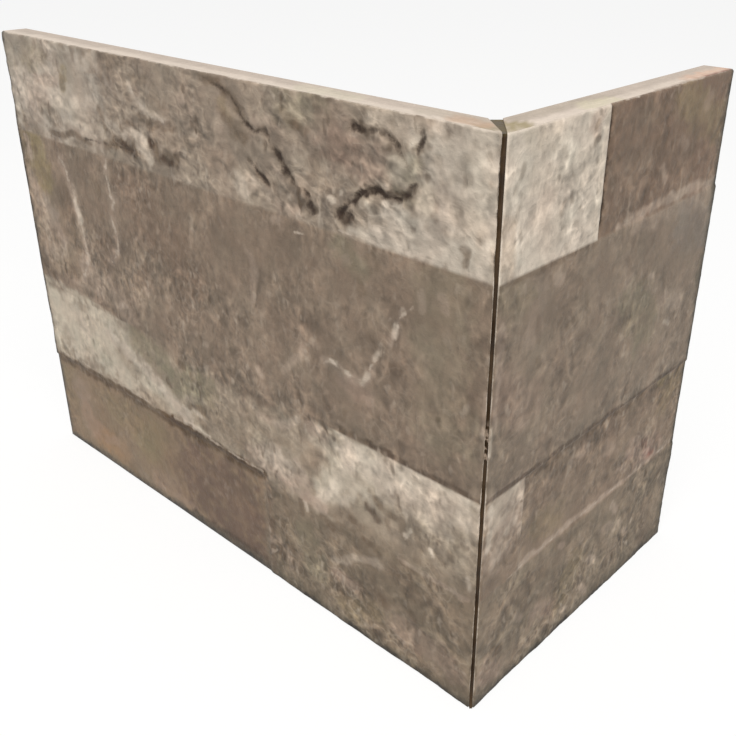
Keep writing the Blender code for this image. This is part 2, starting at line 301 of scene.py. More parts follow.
middle_marks = marks(
    (warm_brown, 0.75, 13, (192, 104), (178, 82)),
    (pale, 0.30, 4.0, (193, 96), (189, 88)),
    (warm_brown, 0.40, 3.6, (182, 78), (166, 76)),
    (pale, 0.35, 4.0, (154, 76), (144, 68)),
    (umber, 0.50, 3.2, (188, 116), (183, 108)),
    (plain_brown, 0.60, 4.0, (186, 112), (178, 100)),
    (olive, 0.45, 5.0, (193, 116), (188, 108)),
    (pale, 0.40, 2.5, (176, 70), (160, 69)),
    (umber, 0.40, 1.3, (182, 78), (176, 75), (168, 72)),
    (olive, 0.85, 5.0, (188, 118), (184, 104)),
    (umber, 0.60, 1.7, (187.8, 113.5)),
    (pale, 0.75, 1.6, (193, 117), (192.3, 111.5)),
    (pale, 0.45, 3.0, (194, 103), (192, 98)),
    (pale, 0.50, 3.0, (188, 96.5), (182, 93)),
    (pale, 0.55, 2.0, (187.5, 88.5), (185, 85.5)),
    (pale, 0.40, 1.8, (180, 86), (178, 84)),
    (pale, 0.54, 2.2, (172, 114), (168.3, 108), (167, 101), (165.5, 95), (164, 89), (164, 83),
     (168, 75)),
    (bright, 0.45, 1.2, (167, 101), (165, 94.5)),
    (umber, 0.40, 1.4, (161.5, 101), (161.5, 94.5)),
    (umber, 0.40, 2.4, (176, 101), (171, 92), (168, 84)),
    (pale, 0.55, 3.2, (185, 96), (179, 84)),
    (pale, 0.40, 4.0, (166, 80), (159, 72)),
    (pale, 0.40, 3.0, (178, 82), (190, 78)),
    (umber, 0.45, 1.6, (172, 104), (169.5, 94)),
    (pale, 0.36, 1.9, (145, 118), (145.5, 112), (144, 107), (145.5, 100), (144, 93), (145, 89),
     (149, 85)),
    (pale, 0.40, 1.5, (143.5, 107.5), (140.5, 106.5)),
    (umber, 0.50, 2.0, (153, 109), (152.3, 107)),
    (umber, 0.35, 1.4, (150.8, 99.5)),
    (umber, 0.45, 1.3, (158, 91), (152, 89.5)),
    (dull_brown, 0.40, 9.0, (135, 112), (108, 93)),
    (pale, 0.35, 1.3, (80, 106), (78, 103), (78.5, 97), (79.5, 93)),
    (pale, 0.35, 1.2, (60, 86), (62, 82), (65, 79), (68.5, 75)),
    (rose, 0.35, 3.0, (45, 80.5), (38, 79.5)),
    (pale, 0.50, 1.3, (78.5, 71.8), (77.5, 70.8)),
    (pale, 0.45, 1.2, (102.5, 71.5)),
    (pale, 0.60, 1.2, (148.5, 69.5), (145.0, 71.5)),
    (pale, 0.32, 1.3, (46, 82.5), (38, 83.2), (35, 87.5)),
    (pale, 0.40, 1.3, (52.5, 83.8), (46, 84)),
    (bright, 0.50, 0.8, (49.6, 84.6), (47.6, 84.7)),
    (bright, 0.55, 0.8, (44.7, 83.6), (43.4, 83.5)),
    (bright, 0.45, 0.9, (38.7, 82.8), (37.0, 85.2)),
    (bright, 0.50, 0.9, (34.9, 90.6), (33.8, 92.4)),
    (bright, 0.65, 0.8, (28.5, 98.2), (27.8, 101.4)),
    (bright, 0.40, 0.7, (26.3, 105.0), (25.6, 106.6)),
    (pale, 0.28, 1.0, (30, 96.5), (27.4, 101), (25.5, 106)),
    (pale, 0.45, 1.4, (131, 80)),
    (pale, 0.60, 1.3, (169.5, 73.5), (167, 73)),
    (pale, 0.40, 0.9, (69.5, 117), (67, 117.3)),
    (dark, 0.75, 0.9, (14.8, 81.7), (14.6, 80.7)),
    (umber, 0.55, 1.3, (39.3, 109.5), (38.7, 107)),
    (umber, 0.35, 2.0, (36, 118.5), (34.5, 114)),
    (moss, 0.45, 3.2, (46, 116.5), (40, 112)),
    (umber, 0.45, 1.1, (45, 72), (45.8, 69.5)),
    (umber, 0.30, 1.6, (28.5, 90.5), (24.5, 89.5)),
    (umber, 0.25, 1.5, (24, 82.8), (22, 82.5)),
    (umber, 0.50, 0.8, (5.0, 105), (3.8, 104.8)),
    (umber, 0.45, 1.3, (122.5, 82), (121, 83)),
    (umber, 0.40, 1.5, (120.5, 73.5)),
    (umber, 0.50, 1.4, (179, 73), (177, 72.3)),
    (beige, 0.60, 1.7, (198, 66.2), (182, 66.0), (168, 64.6)),
    (beige, 0.45, 1.2, (168, 65.4), (152, 64.0)),
    (pale, 0.50, 1.5, (186, 69), (172, 68.4)),
    (umber, 0.60, 1.6, (195, 72.5), (192.5, 72)),
    (umber, 0.50, 1.2, (197, 70.2), (182, 69.0), (160, 68.6)),
    (umber, 0.25, 1.4, (108, 95.5), (104, 95)),
    (umber, 0.30, 1.3, (112.5, 87.5), (110.5, 86.8)),
    (moss, 0.25, 9.0, (14, 112), (12, 80)),
    # Painted shade: the next three rows are a dark line in the crease along the bottom of the middle course,
    # above the lower course's lit edge.
    (dark, 0.80, 0.8, (38, 65.7), (28, 65.5)),
    (umber, 0.85, 0.8, (47, 65.9), (38, 65.6)),
    (dark, 0.60, 0.8, (26, 65.7), (1, 65.4)),
    (pale, 0.45, 0.6, (0.6, 94), (0.5, 83)),
    (pale, 0.35, 1.1, (20, 111.5), (19.5, 108)),
    (pale, 0.30, 1.1, (14.7, 112.3), (13.5, 110)),
    (pale, 0.30, 1.2, (44.5, 113.2), (43, 113.5)),
)

lower_marks = marks(
    (plain_brown, 0.90, 6.0, (138, 66), (64, 66)),
    (plain_brown, 0.60, 2.4, (62, 65.5), (52, 65.5)),
    (beige, 0.97, 13.0, (196, 53), (162, 53)),
    (cream, 0.35, 3.0, (178, 59), (172, 52)),
    (moss, 0.30, 3.2, (168, 49.5), (159, 46)),
    (beige, 0.88, 7.0, (154, 46), (142, 44)),
    (beige, 0.65, 4.5, (142, 46), (126, 42)),
    (warm_brown, 0.50, 2.8, (141, 40.5), (129, 39.5)),
    (beige, 0.65, 5.0, (158, 62), (149, 60)),
    (warm_brown, 0.40, 3.5, (152, 51), (144, 48)),
    (bright, 0.45, 1.3, (166.5, 47.8), (164, 49.2)),
    (bright, 0.45, 1.2, (183, 40.0), (180.5, 41)),
    # Painted highlight along the lower course's bottom edge, where its ledge stands over the smooth block.
    (bright, 0.65, 0.9, (118, 38.9), (112, 38.7), (105.5, 38.4)),
    (umber, 0.55, 1.3, (112, 57.4), (109.5, 56)),
    (cream, 0.85, 2.4, (157.5, 57), (153, 55.3), (147, 53.5), (139, 52), (131, 48.3), (126, 46),
     (121, 43.2), (116, 42.5)),
    (bright, 0.80, 1.3, (155.3, 57.0), (153.6, 56.4)),
    (bright, 0.80, 1.1, (129.8, 46.4), (127.8, 47.2)),
    (moss, 0.55, 5.0, (141, 60), (126, 57)),
    (moss, 0.65, 5.5, (121, 53), (104, 55.5)),
    (umber, 0.70, 1.7, (119.2, 60.8), (116.6, 59.4)),
    (umber, 0.45, 1.2, (112.5, 57.3), (108.5, 55.6)),
    (umber, 0.55, 1.1, (125.3, 50.8), (124, 49.5)),
    (umber, 0.75, 1.5, (114.5, 46.4), (111, 46.6), (107, 47.8)),
    (umber, 0.55, 1.4, (109.5, 42.3), (105.5, 41)),
    (cream, 0.60, 1.1, (112.5, 45.2), (109.8, 44.6)),
    (umber, 0.30, 1.8, (88, 52.3), (67, 52)),
    (umber, 0.30, 1.4, (80, 60), (76, 58)),
    (rough_brown, 0.55, 5.5, (102, 49), (90, 45.5)),
    (rough_brown, 0.45, 2.6, (84, 55), (82, 48)),
    (pale, 0.88, 5.0, (82, 41.5), (74, 44), (64, 43)),
    (cream, 0.50, 3.2, (76, 44), (69, 44.5)),
    (cream, 0.40, 1.6, (73, 56), (69, 58.5), (64, 62)),
    (beige, 0.92, 6.5, (45, 60), (36, 58)),
    (beige, 0.85, 5.0, (53, 43), (48, 49), (44, 56)),
    (beige, 0.60, 4.0, (56, 60), (48, 57)),
    (warm_brown, 0.45, 3.0, (60, 49), (57, 54)),
    (pale, 0.45, 1.4, (80, 57), (72, 56), (66, 60)),
    (bright, 0.92, 5.4, (43, 60), (35, 59)),
    (cream, 0.50, 4.0, (40, 51.5), (47, 47)),
    (cream, 0.40, 2.6, (48, 44), (54, 41)),
    (cream, 0.50, 3.0, (37, 57), (30, 57)),
    (cream, 0.90, 5.4, (30, 60), (3, 59)),
    (bright, 0.35, 3.0, (24, 61), (8, 61)),
    (cream, 0.60, 5.0, (32, 56), (12, 54)),
    (mid_brown, 0.30, 2.0, (20, 53), (18.5, 49)),
    (mid_brown, 0.35, 1.6, (1, 62), (1, 52)),
    (rose, 0.40, 2.4, (58, 62), (53, 61)),
    (bright, 0.60, 1.2, (27, 62.5), (22, 57)),
    (bright, 0.55, 1.4, (45, 55), (48.5, 48.5), (52.5, 43), (56.5, 38.5)),
    (bright, 0.50, 3.2, (41, 61), (30, 57)),
    # Painted highlight along the lower course's top edge, under the middle course.
    (bright, 0.70, 0.9, (25, 64), (12, 63.4), (1, 63.8)),
    (rough_brown, 0.70, 4.0, (50, 36.6), (0, 37.0)),
    (pale, 0.75, 2.0, (66, 38), (55, 37)),
    (umber, 0.65, 1.5, (43.5, 39.2), (40.5, 38.2)),
    (mid_brown, 0.60, 4.5, (34, 43.5), (8, 44)),
    (beige, 0.55, 3.2, (46, 50), (38, 52)),
    (umber, 0.25, 2.5, (22, 41), (18, 39)),
    (dark, 0.75, 1.4, (37.2, 46.0), (35.2, 45.4), (33.6, 44.2)),
    (umber, 0.70, 1.1, (34.2, 49.8), (33.0, 49.2)),
    (umber, 0.55, 1.2, (36.8, 51.7), (35.7, 51)),
    (umber, 0.60, 1.3, (32.3, 48.3), (28.7, 47.3)),
    (umber, 0.55, 1.1, (30.3, 45), (29.3, 43.6)),
    (umber, 0.50, 1.4, (26, 47.3), (24, 42.5)),
    (umber, 0.45, 1.4, (20.3, 48), (18.8, 43.5)),
    (umber, 0.50, 1.3, (12.8, 43.5), (11.8, 42.3)),
    (umber, 0.40, 1.2, (9.5, 46.5), (8.6, 45.3)),
    (bright, 0.62, 0.8, (24.2, 43.8), (22.6, 46.6)),
    (bright, 0.65, 0.7, (15.5, 43.8), (15.1, 42.6)),
    (bright, 0.50, 0.9, (3.2, 41.5), (2.2, 38.5)),
    # The next four rows are painted shadow: a dark line along the foot of the lower course, where its ledge
    # stands over the bottom stones.
    (ledge_shadow, 0.85, 1.2, (196, 36.6), (128, 36.6)),
    (dark, 0.50, 1.2, (188, 36.4), (176, 36.6)),
    (ledge_shadow, 0.98, 1.6, (128, 36.6), (80, 36.7)),
    (dark, 0.70, 0.9, (126, 36.2), (80, 36.2)),
    (cream, 0.45, 1.2, (36.7, 49.5), (36.2, 47.5)),
)

block_marks = marks(
    (olive, 0.35, 8.0, (190, 28), (186, 20)),
    (rose, 0.35, 4.5, (184, 18), (183, 15)),
    (rust, 0.75, 5.0, (182, 16), (176, 9), (160, 9)),
    (rose, 0.45, 6.0, (184, 26), (180, 12)),
    (olive, 0.35, 7.0, (160, 26), (142, 24)),
    (rose, 0.40, 1.8, (171, 9), (164, 11.5)),
    (warm_brown, 0.35, 6.0, (158, 12), (146, 9)),
    (olive, 0.55, 6.0, (144, 17), (136, 27)),
    (rose, 0.30, 4.5, (138, 7), (128, 9)),
    (dull_brown, 0.95, 19.0, (108, 19), (92, 19)),
    (pale, 0.20, 2.0, (150, 3.5), (118, 4.0)),
    # Painted shadow under the lower course's ledge, along the top of the smooth block.
    (ledge_shadow, 0.85, 1.6, (196, 35.3), (126, 35.3)),
    (umber, 0.20, 6.0, (153, 30), (134, 29)),
    (rough_brown, 0.75, 2.2, (79, 33), (79, 2)),
    # Painted shade with some soiling along the bottom edge.
    (dark, 0.85, 2.8, (118, 1.8), (79, 2.0)),
    # Painted shadow under the lower course's ledge.
    (ledge_shadow, 0.98, 1.6, (128, 35.3), (79, 35.3)),
    # Painted shade with some soiling along the bottom edge and the free end.
    (shade_and_dirt, 0.50, 1.9, (198, 1.0), (79, 1.2)),
    (shade_and_dirt, 0.50, 1.6, (197.5, 34), (197.5, 1)),
)

rough_marks = marks(
    (mid_brown, 0.90, 3.0, (78, 37.2), (52, 36.8)),
    (pale, 0.75, 2.0, (66, 38), (55, 37)),
    (umber, 0.30, 2.4, (71, 20), (68, 16)),
    (dull_brown, 0.55, 2.6, (79, 33), (79, 2)),
    (umber, 0.45, 1.4, (79, 25), (77, 18), (73.5, 12)),
    (dark, 0.65, 1.5, (74, 11), (72.7, 10)),
    (umber, 0.55, 1.3, (67.3, 23), (66.5, 22)),
    (umber, 0.75, 1.1, (64.2, 35), (63.6, 30.5)),
    (umber, 0.40, 1.5, (70.5, 28), (71.5, 20), (67.5, 14)),
    (pale, 0.40, 1.3, (78.5, 13.5), (75, 16), (71, 13), (69.3, 8)),
    (bright, 0.50, 0.9, (61.8, 35.4), (61.2, 32.6)),
    (umber, 0.70, 1.5, (55, 33.4), (51.5, 32)),
    (umber, 0.40, 1.1, (50.5, 32.6), (49.3, 32.0)),
    (cream, 0.38, 1.4, (51, 20.5), (47.5, 22), (44, 25), (41, 27), (37, 28.5), (33.5, 29.6)),
    (rose, 0.45, 2.6, (50, 17), (41, 15)),
    (umber, 0.80, 1.1, (38.5, 34.6), (35, 34.2), (33.3, 33.0)),
    (umber, 0.70, 1.7, (32, 18.3), (30.8, 17)),
    (umber, 0.50, 1.3, (40.3, 18), (39.5, 15.5)),
    (umber, 0.50, 1.4, (21.5, 19), (20.7, 18)),
    (umber, 0.50, 1.1, (27.6, 31), (26.9, 30.4)),
    (umber, 0.60, 0.9, (26, 34.4), (20, 33.6), (15, 34.2), (12, 34)),
    (pale, 0.45, 0.8, (26, 35.6), (18, 34.8), (10, 35.6), (2, 35.0)),
    (rose, 0.38, 4.6, (25, 12.5), (8, 10)),
    (olive, 0.30, 4.0, (46, 7), (37, 12)),
    (moss, 0.35, 5.0, (62, 24), (58, 14)),
    (umber, 0.35, 1.6, (49, 12.5), (46, 9.5)),
    # Painted shade with some soiling along the bottom edge.
    (shade_and_dirt, 0.55, 2.2, (79, 1.2), (0, 1.4)),
)

long_stones = (
    stone(None, None, middle_line, None, 0.60, 0.55, riven_brown, (1.02, 0.60), 0.20, riven_marks),
    stone(None, None, lower_line, middle_line, 0.40, 0.16, plain_brown, (0.58, 0.76), 0.65, middle_marks),
    stone(None, None, bottom_line, lower_line, 0.50, 0.28, mid_brown, (0.84, 0.60), 0.5, lower_marks),
    stone(None, block_end, None, bottom_line, 0.55, 0.28, rough_brown, (0.80, 0.95), 0.5, rough_marks),
    stone(block_end, None, None, bottom_line, 0.85, 0.06, smooth_brown, (0.30, 0.34), 0.5, block_marks),
)

long_cracks = lines(
    (0.50, 1.3, (93, 148.6), (88, 147), (84, 146.0), (81, 143.4), (79.5, 141), (78, 139.5)),
    (0.86, 1.2, (77.5, 139.4), (74.5, 138.4), (72.5, 138.9), (70.8, 139.2), (70.2, 137.9)),
    (0.52, 1.1, (70.2, 137.9), (69, 135.8), (67.8, 135.2)),
    (0.86, 1.4, (67.8, 135.2), (66, 134), (64.4, 132), (63, 130.4), (61.8, 128.6)),
    (0.66, 1.1, (61.8, 128.6), (61, 127.3), (58.2, 127.2), (57, 126.2)),
    (0.78, 1.6, (57, 126.2), (55.8, 124.4), (54.7, 122.9)),
    (0.66, 1.2, (77.3, 130.4), (75.5, 129.4), (74.5, 128.2), (72.6, 127.2), (71.0, 125.8)),
    (1.00, 1.3, (41.2, 144.8), (39, 144.9), (37.5, 144.2), (36, 144.6)),
    (0.66, 1.0, (36, 144.6), (33.5, 145.2)),
    (0.95, 1.3, (33.5, 145.2), (31.5, 145.0), (29.4, 143.9), (28.2, 142.6)),
    (0.62, 1.1, (28.2, 142.6), (26.6, 140.8), (25.4, 139.2)),
    (0.76, 1.2, (21.2, 147.2), (21.0, 145.4), (21.6, 143.8), (22.6, 142.9)),
    (0.92, 1.0, (22.8, 135.6), (24.2, 134.4), (24.8, 133.0), (26.4, 132.3), (27.6, 131.2)),
    (1.00, 1.1, (27.6, 131.2), (29.8, 131.9), (31.4, 131.1), (33.0, 132.3), (34.8, 131.6)),
    (0.94, 1.1, (34.8, 131.6), (36.2, 132.0), (37.4, 130.6), (38.6, 130.7), (40.0, 129.6)),
    (0.84, 1.0, (40.0, 129.6), (40.8, 128.1), (42.6, 127.6), (43.6, 126.2), (45.4, 124.8)),
    (1.00, 1.7, (45.8, 123.9), (43.8, 123.4), (42.4, 124.2)),
    (0.45, 1.0, (158, 122.6), (146, 123.1), (128, 123.9)),
)

long_veins_and_highlights = lines(
    (0.60, 1.0, (127.5, 142), (126, 139), (123, 137.6), (120.5, 136.4), (118.5, 135.0), (113, 134.8)),
    (0.62, 0.6, (61.7, 116.0), (57.3, 116.4)),
    (0.58, 1.6, (172, 114), (169.6, 110), (168.8, 107.5), (167, 104), (167.6, 101), (165.9, 97.5),
     (166, 95), (164.4, 91), (164.6, 87), (163.6, 83), (165.5, 79), (168, 75)),
    (0.50, 1.4, (145, 118), (146, 114.5), (145, 111), (144.6, 107), (143.4, 106), (145.2, 102),
     (145.8, 98.5), (144, 94), (144.6, 90), (147, 87), (149, 85)),
    (0.48, 0.9, (52.3, 83.4), (49.9, 85.2), (47.6, 84.2), (44.5, 84.2), (41.5, 82.6), (38.8, 83.4)),
    (0.48, 0.9, (38.8, 83.4), (36.4, 85.2), (36.0, 88.2), (34.0, 90.4), (33.6, 92.4), (31.6, 93.5)),
    (0.50, 0.9, (29.5, 95.8), (28, 98.2), (27.4, 101), (26.6, 104), (24.7, 106), (22.9, 107.6)),
    (0.55, 0.7, (46, 120.1), (30, 120.1), (12, 120.0), (1, 120.1)),
    # The next two rows are painted highlights: the lit edge of the lower course's ledge over the bottom
    # stones.
    (0.45, 0.8, (196, 37.6), (186, 38.2), (183, 39.6), (176, 38.2), (150, 38.6), (132, 37.8)),
    (0.75, 0.8, (124, 38), (116, 38.3), (108, 38), (95, 37.6), (80, 37.4)),
)


def hills(along, up, size, seed):
    """Smooth hills and hollows: random heights at the corners of square cells, eased across."""
    corner_heights = np.random.RandomState(seed).uniform(-1.0, 1.0, hill_cells)
    column, across = np.divmod(along / size, 1.0)
    row, rising = np.divmod(up / size, 1.0)
    column = column.astype(int)
    row = row.astype(int)
    across = across * across * (3.0 - 2.0 * across)
    rising = rising * rising * (3.0 - 2.0 * rising)

    def at(i, j):
        return corner_heights[(column + i) % hill_cells[0], (row + j) % hill_cells[1]]

    low = at(0, 0) * (1.0 - across) + at(1, 0) * across
    high = at(0, 1) * (1.0 - across) + at(1, 1) * across
    return low * (1.0 - rising) + high * rising


def layered(along, up, sizes, shares, seed):
    """Hills of each size on top of each other, each with its share, between about -1 and 1."""
    layers = enumerate(zip(sizes, shares))
    return sum(share * hills(along, up, size, seed + layer) for layer, (size, share) in layers)


def distance_to(points, along, up):
    """Distance from each place to the nearest stretch of the line through points."""
    if len(points) == 1:
        return np.hypot(along - points[0][0], up - points[0][1])
    nearest = np.full(along.shape, np.inf)
    for (a0, u0), (a1, u1) in zip(points, points[1:]):
        run = a1 - a0
        climb = u1 - u0
        share = ((along - a0) * run + (up - u0) * climb) / (run * run + climb * climb)
        share = np.clip(share, 0.0, 1.0)
        nearest = np.minimum(nearest, np.hypot(along - a0 - share * run, up - u0 - share * climb))
    return nearest


def stone_shares(along, up, stones, width):
    """Each stone's share of each place: 1 inside, 0 outside, sloping over width at its sides."""
    shares = []
    for piece in stones:
        inside = np.ones(along.shape)
        for reach in (along - piece.near, piece.far - along, up - piece.low, piece.high - up):
            inside = inside * np.clip(reach / width + 0.5, 0.0, 1.0)
        shares.append(inside)
    shares = np.array(shares)
    return shares / shares.sum(axis=0)


def nearest_line(drawn, along, up):
    """Distance over width to the nearest line drawn, plus what its strength lacks of 1."""
    nearest = np.full(along.shape, far_off)
    for item in drawn:
        gap = distance_to(item.points, along, up)
        nearest = np.minimum(nearest, gap / item.width + 1.0 - item.strength)
    return nearest


def marked_colour(colour, drawn_marks, along, up, seed):
    """Lay each mark's colour over what lies under it; some marks are painted shadows and highlights.

    The places are first shifted by hills, so that a mark wanders. Its cover is full up to
    mark_reach less mark_rim of its width, eases to nothing over mark_rim, and breaks up
    into dabs where small hills are low.
    """
    sideways = mark_wander * layered(along, up, sideways_sizes, coarse_and_fine, seed)
    upwards = mark_wander * layered(along, up, upwards_sizes, coarse_and_fine, seed + 3)
    along = along + sideways
    up = up + upwards
    dabs = mark_break * layered(along, up, dab_sizes, coarse_and_fine, seed + 6)
    patchy = np.clip(1.0 + dabs, 0.3, 1.1)
    for each_mark in drawn_marks:
        reach = distance_to(each_mark.points, along, up) / each_mark.width - dabs
        cover = np.clip((mark_reach - reach) / mark_rim, 0.0, 1.0)
        cover = each_mark.strength * cover * cover * (3.0 - 2.0 * cover) * patchy
        colour = colour + (each_mark.colour - colour) * cover[..., None]
    return colour


def mitre_run(depth):
    """How far from the corner the sawn face lies, at a depth below the outer plane.

    It is the joint's width at the face over root two, plus the depth and the joint's flare.
    """
    flare = (joint_at_back - joint_at_face) / (sqrt(2) * slab)
    return joint_at_face / sqrt(2) + depth * (1.0 + flare)


def face_depth(along, up, length, stones, cracks, seed):
    """Depth below the outer plane of the stones, their hills and chips, the cracked and shadowed lines and
    the bevels.

    Each place has its stones' depth, plus their rise times hills and chips. Each line of cracking, and
    the painted shadow's line, digs in as a bell of its distance. All of it is lifted until its highest
    place meets the plane, and then slopes off at the bevels.
    """
    shares = stone_shares(along, up, stones, step_width)
    surface = layered(along, up, hill_sizes, hill_shares, seed)
    chips = layered(along, up, chip_sizes, chip_shares, seed + chip_seed)
    depths = np.array([item.depth for item in stones])[:, None, None]
    rises = np.array([item.rise for item in stones])[:, None, None]
    depth = (shares * (depths + rises * (surface + chip_rise * chips))).sum(axis=0)
    for crack in cracks:
        gap = distance_to(crack.points, along, up) / (crack_spread * crack.width)
        depth = depth + crack_depth * crack.strength * np.exp(-(gap**2))
    depth = depth - depth.min()
    for rim in (up, height - up, length - along):
        depth = depth + np.clip(edge_bevel - rim, 0.0, edge_bevel)
    return depth + np.clip(arris_bevel - along, 0.0, arris_bevel) * edge_bevel / arris_bevel


def between(fixed, pitch_at):
    """The fixed lines, with even lines between them at the pitch that holds there."""
    found = []
    for start, end in zip(fixed, fixed[1:]):
        count = max(1, round((end - start) / pitch_at((start + end) / 2)))
        found.extend(np.linspace(start, end, count, endpoint=False))
    return np.array([*found, fixed[-1]])


def leg_columns(length, count, growth):
    """Lines across a leg, with lines on its two bevels.

    Between the bevels they go from even, at growth 0, to the square of their share, at
    growth 1, which is closer together at the corner.
    """
    share = np.linspace(0.0, 1.0, count - 4)
    run = length - edge_bevel - arris_bevel
    inner = arris_bevel + run * ((1.0 - growth) * share + growth * share * share)
    return np.array([0.0, arris_bevel / 2, *inner, length - edge_bevel / 2, length])


def groove_lines():
    """The four lines of each keying groove, from the bottom one up."""
    half = groove_width / 2
    offsets = np.array((-half, groove_draft - half, half - groove_draft, half))
    middles = lowest_groove + groove_pitch * np.arange(groove_count)
    return (middles[:, None] + offsets).ravel().tolist()


def back_depths(rows):
    """Depth of the back at each height: the slab, less the draughted grooves."""
    index = np.clip(np.round((rows - lowest_groove) / groove_pitch), 0, groove_count - 1)
    inside = groove_width / 2 - np.abs(rows - lowest_groove - index * groove_pitch)
    return slab - groove_depth * np.clip(inside / groove_draft, 0.0, 1.0)


def leg_rows(pitch_at):
    """Lines up a leg: on its bevels, at both sides of each course's step and on the grooves."""
    bevel = (0.0, edge_bevel / 2, edge_bevel)
    courses = (bottom_line, lower_line, middle_line)
    steps = (course + side * step_width / 2 for course in courses for side in (-1, 1))
    fixed = {*bevel, *(height - place for place in bevel), *steps, *groove_lines()}
    return between(sorted(fixed), pitch_at)


def cells(index):
    """The four-sided faces between the rows and columns of a grid of vertex numbers."""
    return np.stack([index[:-1, :-1], index[1:, :-1], index[1:, 1:], index[:-1, 1:]], -1).reshape(-1, 4)


def leg_grids(along, up, depth, length):
    """A leg's six grids of (along, depth, up): face, mitre, free end, back, bottom and top.

    The face lies at its depth, and is drawn in by the corner to meet the mitre. The mitre and
    the free end are grids of depth and up between the face's edge and the back, the back is a
    coarser grid of along and up, and the bottom and top are grids of along and depth.
    """
    columns = along[:, 0]
    rows = up[0]
    inner = wall_steps[1:-1]
    back = back_depths(rows)
    reach = along + mitre_run(depth) * np.clip(1.0 - along / mitre_fade, 0.0, 1.0)

    wall_depth = depth[[0, -1]][:, None] + inner[:, None] * (back - depth[[0, -1]])[:, None]
    walls = np.stack([wall_depth, wall_depth, np.broadcast_to(rows, wall_depth.shape)], -1)
    walls[0, ..., 0] = mitre_run(wall_depth[0])
    walls[1, ..., 0] = length

    share = columns[::back_stride, None] / length
    back_reach = mitre_run(back) + share * (length - mitre_run(back))
    rear = np.stack(np.broadcast_arrays(back_reach, back, rows), -1)

    ends = []
    for row in (0, -1):
        far_reach = mitre_run(back[row]) + columns / length * (length - mitre_run(back[row]))
        end_reach = reach[:, row, None] + inner * (far_reach - reach[:, row])[:, None]
        end_depth = depth[:, row, None] + inner * (back[row] - depth[:, row])[:, None]
        ends.append(np.stack([end_reach, end_depth, np.full(end_depth.shape, rows[row])], -1)[1:-1])
    return [np.stack([reach, depth, up], -1), walls[0], walls[1], rear, *ends]


def leg_faces(numbers, rows):
    """Groups of faces on the numbered grids, the finish of each group, and the creased vertices.

    The bottom and the top take in the rims of the face, the mitre and the free end. Fans then
    gather each stretch of their last line into one cell of the back.
    """
    on_face, on_mitre, on_end, on_back, on_bottom, on_top = numbers
    mitre = np.vstack([on_face[:1], on_mitre, on_back[:1]])
    free = np.vstack([on_face[-1:], on_end, on_back[-1:]])
    groups = [cells(on_face), cells(mitre)[:, ::-1], cells(free), cells(on_back)[:, ::-1]]
    fans = []
    for row, inside, turn in ((0, on_bottom, 1), (-1, on_top, -1)):
        cap = np.vstack([mitre[:-1, row], np.hstack([on_face[1:-1, row, None], inside]), free[:-1, row]])
        groups.append(cells(cap)[:, ::-turn])
        stretches = np.arange(0, len(cap) - 1, back_stride)[:, None] + np.arange(back_stride + 1)
        fan = np.hstack([cap[:, -1][stretches], on_back[1:, row, None], on_back[:-1, row, None]])
        fans.append(fan[:, ::-turn])
    finishes = (on_the_face, sawn, sawn, on_the_back, sawn, sawn, sawn, sawn)

    grooves = np.isin(np.round(rows / mm, 3), np.round(np.array(groove_lines()) / mm, 3))
    creased = [on_back[:, grooves].ravel()]
    for grid in (on_face, mitre, free, on_back):
        creased.extend([grid[0], grid[-1], grid[:, 0], grid[:, -1]])
    return [*groups, *fans], finishes, np.concatenate(creased)


def leg_fields(leg, along, up):
    """The face's colour and the values that its material reads, at each place of its grid.

    The pale worn rim is held back on brown stone, and pale stone is mottled less. The cracking with the
    painted shadow, the veining with the painted highlights, the rim, and the painted shade with soiling
    at the bottom and the free end are distances in widths of their line.
    """
    shares = stone_shares(along, up, leg.stones, step_width / 2)
    eased = stone_shares(along, up, leg.stones, mottle_fade)
    bare = [np.tile(item.colour, (*along.shape, 1)) for item in leg.stones]
    colour = sum(
        share[..., None] * marked_colour(ground, item.marks, along, up, leg.seed + mark_seed)
        for share, ground, item in zip(shares, bare, leg.stones)
    )
    mottles = np.array([item.mottle for item in leg.stones])
    mottle = np.einsum("sij,s->ij", eased, mottles[:, 0])
    mottle += np.einsum("sij,s->ij", eased, mottles[:, 1] - mottles[:, 0]) * along / leg.length
    lightness = colour[..., 1]
    held_back = np.interp(lightness, brown_to_cream, rim_held_back)
    return colour, {
        "mottle": mottle * np.interp(lightness, beige_to_bright, mottle_kept),
        # The cracked lines also carry a painted shadow, and the veined lines painted highlights.
        "crack": nearest_line(leg.cracks, along, up),
        "vein": nearest_line(leg.veins, along, up),
        "rim": np.minimum(along / arris_bevel, (height - up) / edge_bevel) + held_back,
        # Painted shade with some soiling: nearness to the bottom edge and the free end.
        "shade_and_grime": np.minimum(up / shade_and_grime_up, (leg.length - along) / shade_and_grime_in),
        "lean": np.einsum("sij,s->ij", shares, np.array([item.lean for item in leg.stones])),
    }


def into_scene(name, data):
    """An object of a mesh, lamp or camera, put into the scene."""
    item = bpy.data.objects.new(name, data)
    bpy.context.scene.collection.objects.link(item)
    return item


